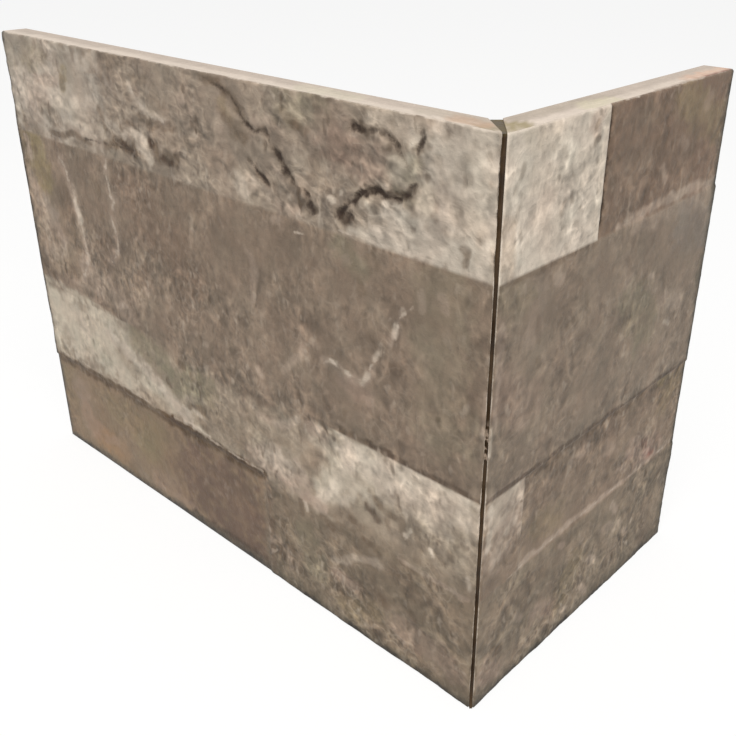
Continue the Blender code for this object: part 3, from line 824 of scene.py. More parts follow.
def leg_piece(leg):
    """A leg as one closed skin with its finishes' numbers, its creases and its own attributes.

    Its grids are numbered one after the other, so the face's places come first, and each
    (along, depth, up) is turned to the leg's own directions from the corner.
    """
    along, up = np.meshgrid(leg.columns, leg.rows, indexing="ij")
    depth = face_depth(along, up, leg.length, leg.stones, leg.cracks, leg.seed)
    grids = leg_grids(along, up, depth, leg.length)
    places = np.concatenate([grid.reshape(-1, 3) for grid in grids])
    numbers = []
    count = 0
    for grid in grids:
        numbers.append(count + np.arange(grid[..., 0].size).reshape(grid.shape[:-1]))
        count += grid[..., 0].size
    groups, finishes, creased = leg_faces(numbers, leg.rows)

    directions = np.array([leg.away, leg.inward, (0.0, 0.0, 1.0)])
    turn = 1 if np.linalg.det(directions) > 0 else -1
    faces = sum((group[:, ::turn].tolist() for group in groups), [])
    mesh = bpy.data.meshes.new(leg.name)
    mesh.from_pydata((np.array(corner) + places @ directions).tolist(), [], faces)
    kinds = np.repeat(finishes, [len(group) for group in groups])
    mesh.polygons.foreach_set("material_index", kinds)
    mesh.shade_smooth()

    on_crease = np.zeros(len(places), bool)
    on_crease[creased] = True
    edge_ends = np.empty(len(mesh.edges) * 2, int)
    mesh.edges.foreach_get("vertices", edge_ends)
    sharp = mesh.attributes.new("sharp_edge", "BOOLEAN", "EDGE")
    sharp.data.foreach_set("value", on_crease[edge_ends.reshape(-1, 2)].all(axis=1))

    face_colour, fields = leg_fields(leg, along, up)
    for label, values in fields.items():
        every = np.full(len(places), far_off)
        every[:values.size] = values.reshape(-1)
        mesh.attributes.new(label, "FLOAT", "POINT").data.foreach_set("value", every)
    mesh.attributes.new("place", "FLOAT_VECTOR", "POINT").data.foreach_set("vector", places.reshape(-1))
    cut_colour = body_colour(places[along.size:], leg.edge_marks, leg.seed)
    colours = np.vstack([face_colour.reshape(-1, 3), cut_colour])
    tints = mesh.attributes.new("stone_colour", "FLOAT_COLOR", "POINT")
    tints.data.foreach_set("color", np.hstack([colours, np.ones((len(colours), 1))]).reshape(-1))

    return into_scene(leg.name, mesh)


def body_colour(places, edge_marks, seed):
    """The fired body at a cut: cream behind the face, easing to rosy at rosy_depth, with its staining laid
    over.
    """
    along, depth, up = places.T
    waver = rosy_waver * layered(along, up, waver_sizes, coarse_and_fine, seed + waver_seed)
    rosy = np.clip((depth - rosy_depth + waver) / rosy_blend + 0.5, 0.0, 1.0)
    colour = fired_cream + (fired_rose - fired_cream) * rosy[:, None]
    return marked_colour(colour, edge_marks, along, depth, seed + edge_stain_seed)


def put(tree, kind, sockets=(), **settings):
    """A shader node; sockets gives each named or numbered input a value or a link."""
    node = tree.nodes.new("ShaderNode" + kind)
    for name, value in settings.items():
        setattr(node, name, value)
    for key, value in dict(sockets).items():
        if isinstance(value, bpy.types.NodeSocket):
            tree.links.new(value, node.inputs[key])
        else:
            node.inputs[key].default_value = value
    return node


def calc(tree, operation, *values, clamp=False):
    """The result of a math node on its values."""
    return put(tree, "Math", dict(enumerate(values)), operation=operation, use_clamp=clamp).outputs[0]


def tint(tree, share, first, second):
    """A colour mixed from first towards second by share."""
    return put(tree, "Mix", {0: share, 6: first, 7: second}, data_type="RGBA").outputs[2]


def paint(red, green, blue):
    """A shade as a shader's socket takes it."""
    return (*shade(red, green, blue), 1.0)


cool_cast = (0.97, 1.005, 0.995, 1.0)
warm_cast = (1.04, 0.99, 0.965, 1.0)
strand_paint = paint(206, 191, 174)
fleck_paint = paint(208, 193, 176)
pit_paint = paint(84, 70, 56)
# The pale of the veining, also laid as painted highlights along some courses' edges.
vein_and_highlight_paint = paint(210, 195, 179)
# Dusky rim and dark core of the cracking, and of the painted shadow beside the cream stone.
crack_and_shadow_rim_paint = paint(100, 82, 64)
crack_and_shadow_paint = paint(44, 30, 20)
worn_paint = paint(222, 209, 194)
# Painted shade, with some soiling, along the bottom edge and the free end: its dusky halo and its dark core.
shade_and_dust_paint = paint(84, 76, 64)
shade_and_grime_paint = paint(52, 47, 40)
groove_paint = paint(168, 152, 137)
land_paint = paint(193, 178, 163)
wash_paint = paint(221, 214, 205)


def laid(tree, cover, strength, under, over):
    """A colour laid over the one under it, as far as cover times strength says."""
    return tint(tree, calc(tree, "MULTIPLY", cover, strength), under, over)


def scaled(tree, colour, factor):
    """A colour made lighter or darker by a factor."""
    return put(tree, "VectorMath", {0: colour, "Scale": factor}, operation="SCALE").outputs[0]


def mapped(tree, value, start, end, low, high, **settings):
    """The value carried over from start to end into low to high, and held at both ends."""
    return put(tree, "MapRange", {0: value, 1: start, 2: end, 3: low, 4: high}, **settings).outputs[0]


def noise(tree, place, scale, detail, roughness=0.5, distortion=0.0):
    """Noise about 0, where scale is in lumps to the metre."""
    sockets = {"Vector": place, "Scale": scale, "Detail": detail, "Roughness": roughness,
               "Distortion": distortion}
    return calc(tree, "SUBTRACT", put(tree, "TexNoise", sockets).outputs[0], 0.5)


def stretched(tree, place, *scale):
    """A place squeezed along its axes, so that a pattern on it is stretched there."""
    return put(tree, "VectorMath", {0: place, 1: scale}, operation="MULTIPLY").outputs[0]


def start_group(name, inputs, outputs):
    """An empty node group with its sockets; inputs and outputs give each one's name and kind."""
    group = bpy.data.node_groups.new(name, "ShaderNodeTree")
    for label, kind in inputs:
        group.interface.new_socket(name=label, in_out="INPUT", socket_type="NodeSocket" + kind)
    for label, kind in outputs:
        group.interface.new_socket(name=label, in_out="OUTPUT", socket_type="NodeSocket" + kind)
    return group, group.nodes.new("NodeGroupInput").outputs, group.nodes.new("NodeGroupOutput").inputs


def fired_grain_group():
    """Fine grain of a fired body: sandy light and dark over the colour, with pin holes."""
    inputs = (("Place", "Vector"), ("Colour", "Color"), ("Coarse", "Float"), ("Fine", "Float"))
    outputs = (("Colour", "Color"), ("Height", "Float"))
    group, given, result = start_group("fired_grain", inputs, outputs)
    sand = noise(group, given["Place"], 900.0, 3.0, 0.6)
    dust = noise(group, given["Place"], 2600.0, 2.0, 0.5)
    swing = calc(group, "ADD", calc(group, "MULTIPLY", sand, given["Coarse"]),
                 calc(group, "MULTIPLY", dust, given["Fine"]))
    grained = scaled(group, given["Colour"], calc(group, "POWER", 2.0, swing))
    hole_noise = noise(group, given["Place"], 700.0, 1.0, 0.4)
    hole = calc(group, "MULTIPLY_ADD", hole_noise, 14.0, -3.1, clamp=True)
    hole = calc(group, "MULTIPLY", hole, calc(group, "MULTIPLY", given["Coarse"], 0.35, clamp=True))
    holed = scaled(group, grained, calc(group, "SUBTRACT", 1.0, hole))
    level = calc(group, "SUBTRACT", calc(group, "ADD", sand, calc(group, "MULTIPLY", dust, 0.5)), hole)
    group.links.new(holed, result["Colour"])
    group.links.new(level, result["Height"])
    return group


def mottle_group():
    """Blotches of split stone over a colour: clouds, dabs, pale strands and flecks, dark pits.

    Two sets of dabs are made, one lying flat and one steep, and Lean goes from the first to
    the second. Strength says how far light and dark swing, in powers of two, and the dabs are
    stronger in some patches than in others. Height stands up where the dabs are light.
    """
    inputs = (("Place", "Vector"), ("Colour", "Color"), ("Strength", "Float"), ("Lean", "Float"))
    outputs = (("Colour", "Color"), ("Height", "Float"))
    group, given, result = start_group("stone_mottle", inputs, outputs)
    place, strength, lean = given["Place"], given["Strength"], given["Lean"]
    flat_angle, steep_angle = radians(12), radians(98)
    scale_detail_swirl = ((205.0, 2.0, 1.1), (400.0, 1.0, 0.4), (240.0, 1.0, 0.9))
    fields = []
    for angle in (flat_angle, steep_angle):
        turned = put(group, "VectorRotate", {"Vector": place, "Angle": angle}, rotation_type="Y_AXIS")
        bedded = stretched(group, turned.outputs[0], 0.70, 1.0, 1.0)
        fields.append([noise(group, bedded, scale, detail, 0.55, swirl)
                       for scale, detail, swirl in scale_detail_swirl])
    flatness = calc(group, "SUBTRACT", 1.0, lean)
    flat_square = calc(group, "MULTIPLY", flatness, flatness)
    spread = calc(group, "SQRT", calc(group, "MULTIPLY_ADD", lean, lean, flat_square))
    blotches, dabs, web = (
        calc(group, "DIVIDE", put(group, "Mix", {0: lean, 2: flat, 3: steep}).outputs[0], spread)
        for flat, steep in zip(*fields)
    )
    patches = calc(group, "MULTIPLY_ADD", noise(group, place, 42.0, 2.0), 3.6, 0.45, clamp=True)
    patches = calc(group, "MULTIPLY_ADD", patches, 1.15, 0.38)
    clouds = noise(group, place, 70.0, 3.0, 0.5, 0.3)
    fine = calc(group, "MULTIPLY_ADD", dabs, 2.3, calc(group, "MULTIPLY", blotches, 2.7))
    swing = calc(group, "MULTIPLY_ADD", fine, patches, calc(group, "MULTIPLY", clouds, 2.1))
    swing = calc(group, "MULTIPLY", calc(group, "SUBTRACT", swing, 0.06), strength)
    clouded = scaled(group, given["Colour"], calc(group, "POWER", 2.0, swing))
    warmth = calc(group, "MULTIPLY_ADD", noise(group, place, 95.0, 2.0), 1.8, 0.5, clamp=True)
    hue = tint(group, warmth, cool_cast, warm_cast)
    hued = put(group, "VectorMath", {0: clouded, 1: hue}, operation="MULTIPLY").outputs[0]

    power = calc(group, "MULTIPLY", strength, patches)
    strand = calc(group, "MULTIPLY_ADD", calc(group, "ABSOLUTE", web), -13.0, 1.0, clamp=True)
    strand = calc(group, "MULTIPLY", strand, calc(group, "MULTIPLY_ADD", clouds, 3.0, 0.55, clamp=True))
    stranded = laid(group, strand, calc(group, "MULTIPLY", power, 0.20), hued, strand_paint)
    upright = stretched(group, place, 1.0, 1.0, 0.7)
    light = noise(group, upright, 350.0, 1.5, 0.5, 0.2)
    light = calc(group, "MULTIPLY_ADD", light, 8.0, -0.85, clamp=True)
    flecked = laid(group, light, calc(group, "MULTIPLY", power, 0.30), stranded, fleck_paint)
    shifted = put(group, "VectorMath", {0: upright, 1: (0.7, 0.3, 0.5)}, operation="ADD").outputs[0]
    deep = noise(group, shifted, 330.0, 1.5, 0.5, 0.2)
    deep = calc(group, "MULTIPLY_ADD", deep, 8.0, -0.88, clamp=True)
    pitted = laid(group, deep, calc(group, "MULTIPLY", power, 0.66), flecked, pit_paint)
    group.links.new(pitted, result["Colour"])

    level = calc(group, "MULTIPLY", calc(group, "MULTIPLY_ADD", dabs, 0.75, blotches), patches)
    level = calc(group, "MULTIPLY_ADD", strand, 0.10, level)
    level = calc(group, "MULTIPLY_ADD", light, 0.12, level)
    level = calc(group, "SUBTRACT", level, calc(group, "MULTIPLY", deep, 0.30))
    group.links.new(calc(group, "MULTIPLY", level, strength), result["Height"])
    return group


def ragged_line_group():
    """A line with a broken rim: Core is full where Gap is near 0, and Halo a soft rim round it."""
    inputs = (("Place", "Vector"), ("Gap", "Float"), ("Raggedness", "Float"))
    group, given, result = start_group("ragged_line", inputs, (("Core", "Float"), ("Halo", "Float")))
    jags = noise(group, given["Place"], 650.0, 3.0, 0.6)
    torn = calc(group, "MULTIPLY_ADD", noise(group, given["Place"], 240.0, 1.0), 1.1, jags)
    gap = calc(group, "ADD", given["Gap"], calc(group, "MULTIPLY", torn, given["Raggedness"]))
    core = mapped(group, gap, 0.15, 1.10, 1.0, 0.0, interpolation_type="SMOOTHSTEP")
    halo = mapped(group, gap, 0.3, 1.7, 1.0, 0.0, interpolation_type="SMOOTHSTEP")
    patchy = calc(group, "MULTIPLY_ADD", noise(group, given["Place"], 300.0, 2.0), 2.5, 0.85, clamp=True)
    group.links.new(calc(group, "MULTIPLY", core, patchy), result["Core"])
    group.links.new(halo, result["Halo"])
    return group


fired_grain = fired_grain_group()
stone_mottle = mottle_group()
ragged_line = ragged_line_group()


def start_material(name, **constants):
    """A material with its Principled shader's constant values set on the sockets."""
    material = bpy.data.materials.new(name)
    material.use_nodes = True
    tree = material.node_tree
    shader = tree.nodes["Principled BSDF"]
    for label, value in constants.items():
        shader.inputs[label.replace("_", " ")].default_value = value
    return material, tree, shader


def attribute(tree, name):
    """The node that reads one of the piece's own attributes."""
    return put(tree, "Attribute", attribute_name=name).outputs


def use_group(tree, group, **sockets):
    """A node group placed in a material with its own values or links."""
    return put(tree, "Group", {key.replace("_", " "): value for key, value in sockets.items()},
               node_tree=group).outputs


def bumped(tree, height, distance, strength):
    """A normal tilted by a height that is given in shares of a distance."""
    return put(tree, "Bump", {"Height": height, "Distance": distance, "Strength": strength}).outputs[0]


def split_stone_material():
    """The pressed and printed face: marked stones, veined and cracked in places, under a matt glaze,
    with painted shadows and highlights along some courses' edges.

    Over the mottled stones come, in turn, the pale veining with the painted highlights, the dark
    cracking with the painted shadow and their dusky rims, the worn pale rims at the top and the arris,
    and the painted shade, with some soiling, that darkens the bottom and the free end.
    """
    material, tree, shader = start_material("split_stone_face", Specular_IOR_Level=0.30)
    place = attribute(tree, "place")["Vector"]
    mottling = attribute(tree, "mottle")["Fac"]
    mottled = use_group(tree, stone_mottle, Place=place, Colour=attribute(tree, "stone_colour")["Color"],
                        Strength=mottling, Lean=attribute(tree, "lean")["Fac"])
    vein, crack, rim, shade_and_grime = (
        use_group(tree, ragged_line, Place=place, Gap=attribute(tree, name)["Fac"], Raggedness=raggedness)
        for name, raggedness in (("vein", 2.0), ("crack", 1.5), ("rim", 1.6), ("shade_and_grime", 1.0))
    )
    colour = mottled["Colour"]
    layers = (
        # This first layer also lays painted highlights, and the next two also a painted shadow.
        (vein["Core"], 0.55, vein_and_highlight_paint),
        (crack["Halo"], 0.30, crack_and_shadow_rim_paint),
        (crack["Core"], 0.97, crack_and_shadow_paint),
        (rim["Core"], 0.75, worn_paint),
        # These two layers are painted shade, with some soiling, at the bottom edge and the free end.
        (shade_and_grime["Halo"], 0.30, shade_and_dust_paint),
        (shade_and_grime["Core"], 1.00, shade_and_grime_paint),
    )
    for cover, strength, over in layers:
        colour = laid(tree, cover, strength, colour, over)
    grained = use_group(tree, fired_grain, Place=place, Colour=colour, Coarse=0.28, Fine=0.12)
    tree.links.new(grained["Colour"], shader.inputs["Base Color"])
    polish = mapped(tree, mottling, 0.1, 1.0, 0.50, 0.68)
    rough = calc(tree, "MULTIPLY_ADD", grained["Height"], 0.20, polish, clamp=True)
    tree.links.new(rough, shader.inputs["Roughness"])
    level = calc(tree, "MULTIPLY_ADD", grained["Height"], 0.30, mottled["Height"])
    level = calc(tree, "SUBTRACT", level, calc(tree, "MULTIPLY", crack["Core"], 0.4))
    tree.links.new(bumped(tree, level, 0.0010, 0.65), shader.inputs["Normal"])
    return material


def sawn_material():
    """The sawn edges: the pale body, dry and dusty, with fine saw lines along the cut."""
    material, tree, shader = start_material("sawn_stoneware", Specular_IOR_Level=0.25, Roughness=0.8)
    place = attribute(tree, "place")["Vector"]
    saw = noise(tree, stretched(tree, place, 0.06, 1.0, 0.3), 1500.0, 2.0, 0.5)
    lined = scaled(tree, attribute(tree, "stone_colour")["Color"],
                   calc(tree, "POWER", 2.0, calc(tree, "MULTIPLY", saw, 0.30)))
    clouds = noise(tree, place, 210.0, 3.0, 0.6)
    clouded = scaled(tree, lined, calc(tree, "POWER", 2.0, calc(tree, "MULTIPLY", clouds, 0.45)))
    grained = use_group(tree, fired_grain, Place=place, Colour=clouded, Coarse=0.40, Fine=0.35)
    tree.links.new(grained["Colour"], shader.inputs["Base Color"])
    level = calc(tree, "MULTIPLY_ADD", saw, 0.8, grained["Height"])
    tree.links.new(bumped(tree, level, 0.0002, 0.5), shader.inputs["Normal"])
    return material


def back_material():
    """The grooved back: the same body with a dusting of white kiln wash on its lands."""
    material, tree, shader = start_material("pressed_back", Specular_IOR_Level=0.25, Roughness=0.85)
    place = attribute(tree, "place")["Vector"]
    depth = put(tree, "SeparateXYZ", {0: place}).outputs["Y"]
    land = mapped(tree, depth, slab - groove_depth, slab, 0.0, 1.0)
    cloud = noise(tree, place, 60.0, 4.0, 0.6, 0.3)
    wash = calc(tree, "MULTIPLY_ADD", cloud, 2.2, 0.45, clamp=True)
    body = tint(tree, land, groove_paint, land_paint)
    washed = laid(tree, wash, calc(tree, "MULTIPLY", land, 0.6), body, wash_paint)
    grained = use_group(tree, fired_grain, Place=place, Colour=washed, Coarse=0.60, Fine=0.40)
    tree.links.new(grained["Colour"], shader.inputs["Base Color"])
    tree.links.new(bumped(tree, grained["Height"], 0.0003, 0.6), shader.inputs["Normal"])
    return material


split_stone_face = split_stone_material()
sawn_stoneware = sawn_material()
pressed_back = back_material()

long_edge_marks = marks(
    (shade(158, 144, 118), 0.70, 3.4, (1.0, 5.0), (6.0, 2.5)),
    (shade(190, 178, 162), 0.55, 3.0, (8.0, 6.0), (24.0, 5.0)),
    (shade(196, 164, 138), 0.60, 2.6, (9.0, 3.5), (16.0, 4.5)),
    (shade(214, 206, 184), 0.50, 4.0, (45, 4), (60, 5)),
)
long_face = leg_piece(Leg(
    name="long_leg_stoneware",
    away=(-1.0, 0.0, 0.0),
    inward=(0.0, 1.0, 0.0),
    length=long_length,
    columns=leg_columns(long_length, count=25 * back_stride + 1, growth=0.28),
    rows=leg_rows(lambda place: relief_pitch if place > middle_line else plain_pitch),
    stones=long_stones,
    cracks=long_cracks,
    veins=long_veins_and_highlights,
    edge_marks=long_edge_marks,
    seed=long_seed,
))
for finish in (split_stone_face, sawn_stoneware, pressed_back):
    long_face.data.materials.append(finish)
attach(long_face, "root")
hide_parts("long_leg")


# Short leg. The narrow side, cut from the same tile, so its courses run on round the corner.
# Its top course ends in a cream stone beside the corner and a darker, sunk one beyond it.
short_length = cad_high.y - corner.y
cream_end = 39.0 * mm
patch_end = 17.0 * mm
short_seed = 41
short_pitch = 0.48 * mm

cream_stone = shade(206, 194, 180)
dark_stone = shade(122, 102, 86)
grey_brown = shade(132, 117, 102)
low_brown = shade(131, 114, 98)
low_rough = shade(128, 114, 98)

cream_marks = marks(
    (bright, 0.50, 5.0, (15, 136), (19, 127)),
    (bright, 0.50, 4.4, (13, 140), (24, 138), (35, 138)),
    (warm_brown, 0.50, 3.0, (1.5, 132), (3.5, 121)),
    # Painted highlight along the cream stone's edge, where it stands proud of the sunk stone.
    (bright, 0.70, 1.0, (37.2, 149), (37.2, 121)),
    (beige, 0.50, 3.0, (9, 148), (17, 147)),
    (umber, 0.40, 0.8, (6.3, 143), (5.5, 140.8)),
    (rose, 0.45, 2.6, (33.5, 148.5), (32.5, 146)),
    (umber, 0.50, 0.8, (33.7, 147.2), (33.1, 145.6)),
    (umber, 0.55, 0.9, (34.3, 143.5), (33.1, 142.4)),
    (umber, 0.40, 1.0, (22.6, 129.6), (23.4, 131.8)),
    (umber, 0.40, 0.7, (25.6, 133), (25.9, 131.4)),
    (umber, 0.35, 0.8, (5.0, 132), (5.3, 134)),
    (umber, 0.32, 0.8, (3.5, 137.5), (4.4, 139.4)),
    (umber, 0.35, 0.8, (7, 129.6), (7.4, 127.8)),
    (umber, 0.22, 1.4, (13.5, 144), (16.5, 145)),
    (umber, 0.24, 0.9, (21, 143.7), (22.0, 141.8)),
    (umber, 0.25, 1.1, (27.5, 125.8), (29, 125)),
    (umber, 0.28, 0.8, (34.4, 139.6), (35, 138.3)),
)

sunk_marks = marks(
    (plain_brown, 0.40, 8.0, (50, 143), (52, 127)),
    (olive, 0.50, 5.5, (97, 137), (76, 146)),
    (umber, 0.50, 1.8, (73.5, 142.5), (72, 140.5)),
    (umber, 0.55, 1.9, (82, 139), (84, 136.5)),
    (umber, 0.35, 2.2, (66, 138.5), (64, 137)),
    (umber, 0.45, 1.8, (82, 133), (83, 131.5)),
    (umber, 0.35, 2.2, (62.5, 143.5), (58, 146)),
    (umber, 0.45, 1.1, (45.5, 137.3), (43.8, 136.4)),
    (umber, 0.35, 1.1, (44.5, 132.3), (43, 131.5)),
    (umber, 0.35, 1.2, (42, 144), (44, 145.5)),
    (pale, 0.40, 1.3, (67.5, 130), (70, 127)),
    (pale, 0.30, 1.5, (79, 134), (76, 135.5)),
    (pale, 0.30, 2.0, (89, 145), (87, 143)),
    # Painted highlight along the sunk stone's bottom, where the middle course's top edge below catches the
    # light.
    (pale, 0.65, 1.5, (49, 119.6), (60, 120.5), (72, 121.4), (98, 120.9)),
    # Painted shade with some soiling along the free end.
    (shade_and_dirt, 0.55, 1.6, (100.5, 149), (100.5, 120)),
)

return_marks = marks(
    # Painted highlight on the middle course's top edge, below the sunk stone.
    (pale, 0.30, 3.0, (58, 118), (96, 118)),
    (pale, 0.50, 1.5, (24.5, 113.5), (22, 115.2)),
    (pale, 0.28, 3.6, (16, 113), (15, 104)),
    (pale, 0.45, 1.4, (2.4, 109), (2.4, 96)),
    (pale, 0.60, 0.9, (2, 65.9), (16, 65.8)),
    # Painted shade with some soiling along the free end.
    (shade_and_dirt, 0.80, 3.4, (101, 120), (101, 92)),
    (pale, 0.40, 2.2, (56.5, 103.5), (58.5, 102.5)),
    (pale, 0.50, 1.0, (70.3, 101), (68, 102)),
    (pale, 0.40, 2.6, (78, 92), (88, 89)),
    (cream, 0.55, 0.9, (80.8, 85), (84, 83.2)),
    (umber, 0.35, 1.5, (56, 114.2), (58.3, 112.3)),
    (umber, 0.35, 1.5, (66, 112.3), (64.5, 109.5)),
    (umber, 0.50, 1.0, (31.8, 101), (33.3, 99)),
    (umber, 0.30, 1.0, (33.3, 111), (34.5, 103)),
    (umber, 0.30, 1.0, (36.3, 110), (36.8, 103)),
    (umber, 0.45, 1.1, (17.3, 96.3), (18.3, 94.6)),
    (umber, 0.35, 1.1, (16.5, 106.5), (17.5, 101)),
    (umber, 0.30, 1.2, (13, 113.5), (14.5, 112)),
    (umber, 0.25, 1.4, (69, 105), (63, 100.5)),
    (slate, 0.50, 7.0, (97, 108), (85, 112)),
    (moss, 0.45, 7.0, (60, 96), (69, 87)),
    (moss, 0.30, 5.0, (4, 116), (10, 113)),
    (rose, 0.30, 6.0, (4, 94), (13, 86)),
    (umber, 0.50, 0.7, (0, 118.4), (39, 118.2)),
    # Painted shadow along the bottom of the middle course, where it stands proud of the lower course.
    (dark, 0.72, 0.9, (0, 65.6), (30, 65.4), (60, 65.3), (99, 65.3)),
    (bright, 0.50, 0.5, (0.5, 85), (0.7, 81.5), (0.5, 78)),
    # Painted shade with some soiling along the free end.
    (shade_and_dirt, 0.55, 1.6, (100.5, 118), (100.5, 65)),
    (pale, 0.50, 0.8, (2.2, 97), (1.8, 84)),
)

patch_marks = marks(
    (cream, 0.80, 6.0, (4.5, 60), (12, 60.5)),
    (pale, 0.80, 5.8, (6, 49), (12, 52)),
    (bright, 0.55, 1.1, (2.4, 63), (2.4, 51)),
    (bright, 0.40, 1.4, (10, 51), (13, 54)),
    (cream, 0.45, 1.4, (13, 63.6), (17, 61.5)),
)

low_marks = marks(
    # Painted shadow on the top of the lower course, under the middle course.
    (umber, 0.75, 1.4, (18, 64.0), (97, 63.9)),
    (umber, 0.35, 3.0, (24, 62), (50, 61.5)),
    (olive, 0.65, 1.5, (84.5, 63.8), (92, 63)),
    (olive, 0.35, 4.5, (25, 46), (33, 43)),
    (pale, 0.30, 2.4, (45, 59.5), (40, 58)),
    (pale, 0.30, 1.8, (57, 53.5), (60, 51.5)),
    (rose, 0.65, 4.8, (88, 38), (73, 46)),
    (shade(196, 164, 149), 0.75, 1.5, (81.5, 41.5), (83.5, 39.5)),
    (pale, 0.50, 1.1, (65.5, 42.6), (68.5, 41.2)),
    (shade(106, 76, 62), 0.65, 1.6, (79, 46), (80.5, 43.3)),
    (shade(148, 98, 84), 0.55, 1.5, (85, 38.6), (87.5, 37.6)),
    (umber, 0.35, 1.5, (75, 50), (80, 52)),
    (umber, 0.35, 1.3, (65.5, 46), (63, 44.5)),
    (olive, 0.40, 5.0, (97, 60), (90, 56)),
    # Painted shade with some soiling along the free end.
    (shade_and_dirt, 0.55, 1.6, (100.5, 64), (100.5, 36)),
    # Painted highlight on the bottom course's top edge, where it stands proud of the stones above.
    (pale, 0.75, 1.2, (12, 36.2), (25, 36.9), (50, 37.1), (75, 36.3), (98, 37)),
)

foot_marks = marks(
    (umber, 0.65, 1.4, (9, 14.8), (11, 13)),
    (dark, 0.60, 1.5, (32, 12.3), (34, 10.5)),
    (umber, 0.50, 1.4, (56.5, 25.4), (58.5, 24)),
    (umber, 0.45, 1.3, (77.5, 28.3), (80, 27.5)),
    (umber, 0.50, 1.5, (35, 33.8), (37.5, 32.6)),
    (umber, 0.40, 1.3, (29, 28), (31, 26.5)),
    (umber, 0.40, 1.4, (76, 13.5), (79, 11)),
    (umber, 0.35, 1.3, (20, 24), (22, 21)),
    (pale, 0.55, 1.4, (64.5, 31), (67.5, 27.5)),
    (pale, 0.55, 1.5, (54, 17.5), (57.5, 15)),
    (pale, 0.45, 1.0, (37, 32.5), (38.5, 31.3)),
    (pale, 0.50, 1.5, (51.5, 8.5), (54.5, 5)),
    (pale, 0.45, 1.2, (41.5, 5.8), (44, 4)),
    (pale, 0.45, 1.3, (74, 16.5), (76.5, 14.6)),
    (pale, 0.50, 1.3, (2, 8.5), (4.5, 5)),
    (pale, 0.40, 1.3, (17.5, 20.5), (20, 18)),
    (pale, 0.35, 1.8, (60, 24.5), (70, 21)),
    (rose, 0.45, 3.2, (27, 14.5), (36, 11.5)),
    (rose, 0.45, 4.0, (5, 10), (9, 7.5)),
    (olive, 0.40, 5.0, (46, 20), (41, 13)),
    # The next two rows are painted shade with some soiling, along the bottom edge and the free end.
    (shade_and_dirt, 0.60, 2.4, (0, 1.4), (60, 1.6), (101, 2.0)),
    (shade_and_dirt, 0.60, 2.0, (100, 34), (100, 2)),
)

short_stones = (
    stone(None, cream_end, middle_line, None, 0.40, 0.16, cream_stone, (1.05, 0.88), 0.5, cream_marks),
    stone(cream_end, None, middle_line, None, 0.75, 0.16, dark_stone, (0.55, 0.55), 0.6, sunk_marks),
    stone(None, None, lower_line, middle_line, 0.40, 0.16, grey_brown, (0.66, 0.50), 0.55, return_marks),
    stone(None, patch_end, bottom_line, lower_line, 0.50, 0.16, low_brown, (0.65, 0.65), 0.6, patch_marks),
    stone(patch_end, None, bottom_line, lower_line, 0.75, 0.16, low_brown, (0.58, 0.80), 0.5, low_marks),
    stone(None, None, None, bottom_line, 0.55, 0.28, low_rough, (0.80, 0.88), 0.6, foot_marks),
)

short_shadow_lines = lines(
    # Painted shadow beside the cream stone's proud edge, over a shallow groove.
    (0.70, 0.9, (40.0, 149), (39.8, 134), (40.1, 121)),
)
short_veins_and_highlights = lines(
    (0.55, 0.7, (1, 120.3), (20, 120.2), (38, 120.3)),
    # Painted highlight on the bottom course's top edge, where it stands proud of the stones above.
    (0.45, 0.7, (12, 36.1), (25, 36.7), (50, 37.0), (75, 36.3), (98, 36.8)),
)
short_edge_marks = marks(
    (shade(160, 146, 112), 0.80, 3.0, (2.5, 4.0), (8.5, 3.6)),
    (shade(176, 164, 148), 0.55, 2.4, (12, 7.0), (45, 7.0)),
    (shade(214, 206, 176), 0.50, 3.2, (33, 3), (42, 3)),
    (shade(218, 184, 162), 0.75, 2.6, (80, 2.4), (100, 2.4)),
    (shade(128, 84, 74), 0.85, 1.1, (86, 0.6), (102, 0.6)),
    (shade(150, 130, 112), 0.50, 0.9, (60, 0.6), (84, 0.6)),
)

short_face = leg_piece(Leg(
    name="short_leg_stoneware",
    away=(0.0, 1.0, 0.0),
    inward=(-1.0, 0.0, 0.0),
    length=short_length,
    columns=leg_columns(short_length, count=20 * back_stride + 1, growth=0.12),
    rows=leg_rows(lambda place: short_pitch),
    stones=short_stones,
    cracks=short_shadow_lines,
    veins=short_veins_and_highlights,
    edge_marks=short_edge_marks,
    seed=short_seed,
))
for finish in (split_stone_face, sawn_stoneware, pressed_back):
    short_face.data.materials.append(finish)
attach(short_face, "root")
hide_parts("short_leg")


# Mitre resin. A filled polyester resin the colour of dark chocolate, run into the joint while
# the two legs were held square, and left a little below the face when it had set.
resin_recess = 1.55 * mm
resin_top_recess = 0.25 * mm
resin_foot = 3.0 * mm
chips_at = 80.0 * mm
resin_gathered = 1.2 * mm
resin_clearance = 0.02 * mm
resin_skin = 1.0 * mm
resin_slump = 0.20 * mm
resin_seed = 71
resin_hill_sizes = (6.0 * mm, 2.2 * mm)
resin_rows = 260
resin_columns = 9


def joint_half_width(inwards):
    """Half the joint's width, which grows evenly from the face's arris to the back's."""
    arris = joint_at_face / 2
    inner = sqrt(2) * slab + joint_at_back / 2
    share = (inwards - arris) / (inner - arris)
    return (joint_at_face + (joint_at_back - joint_at_face) * share) / 2


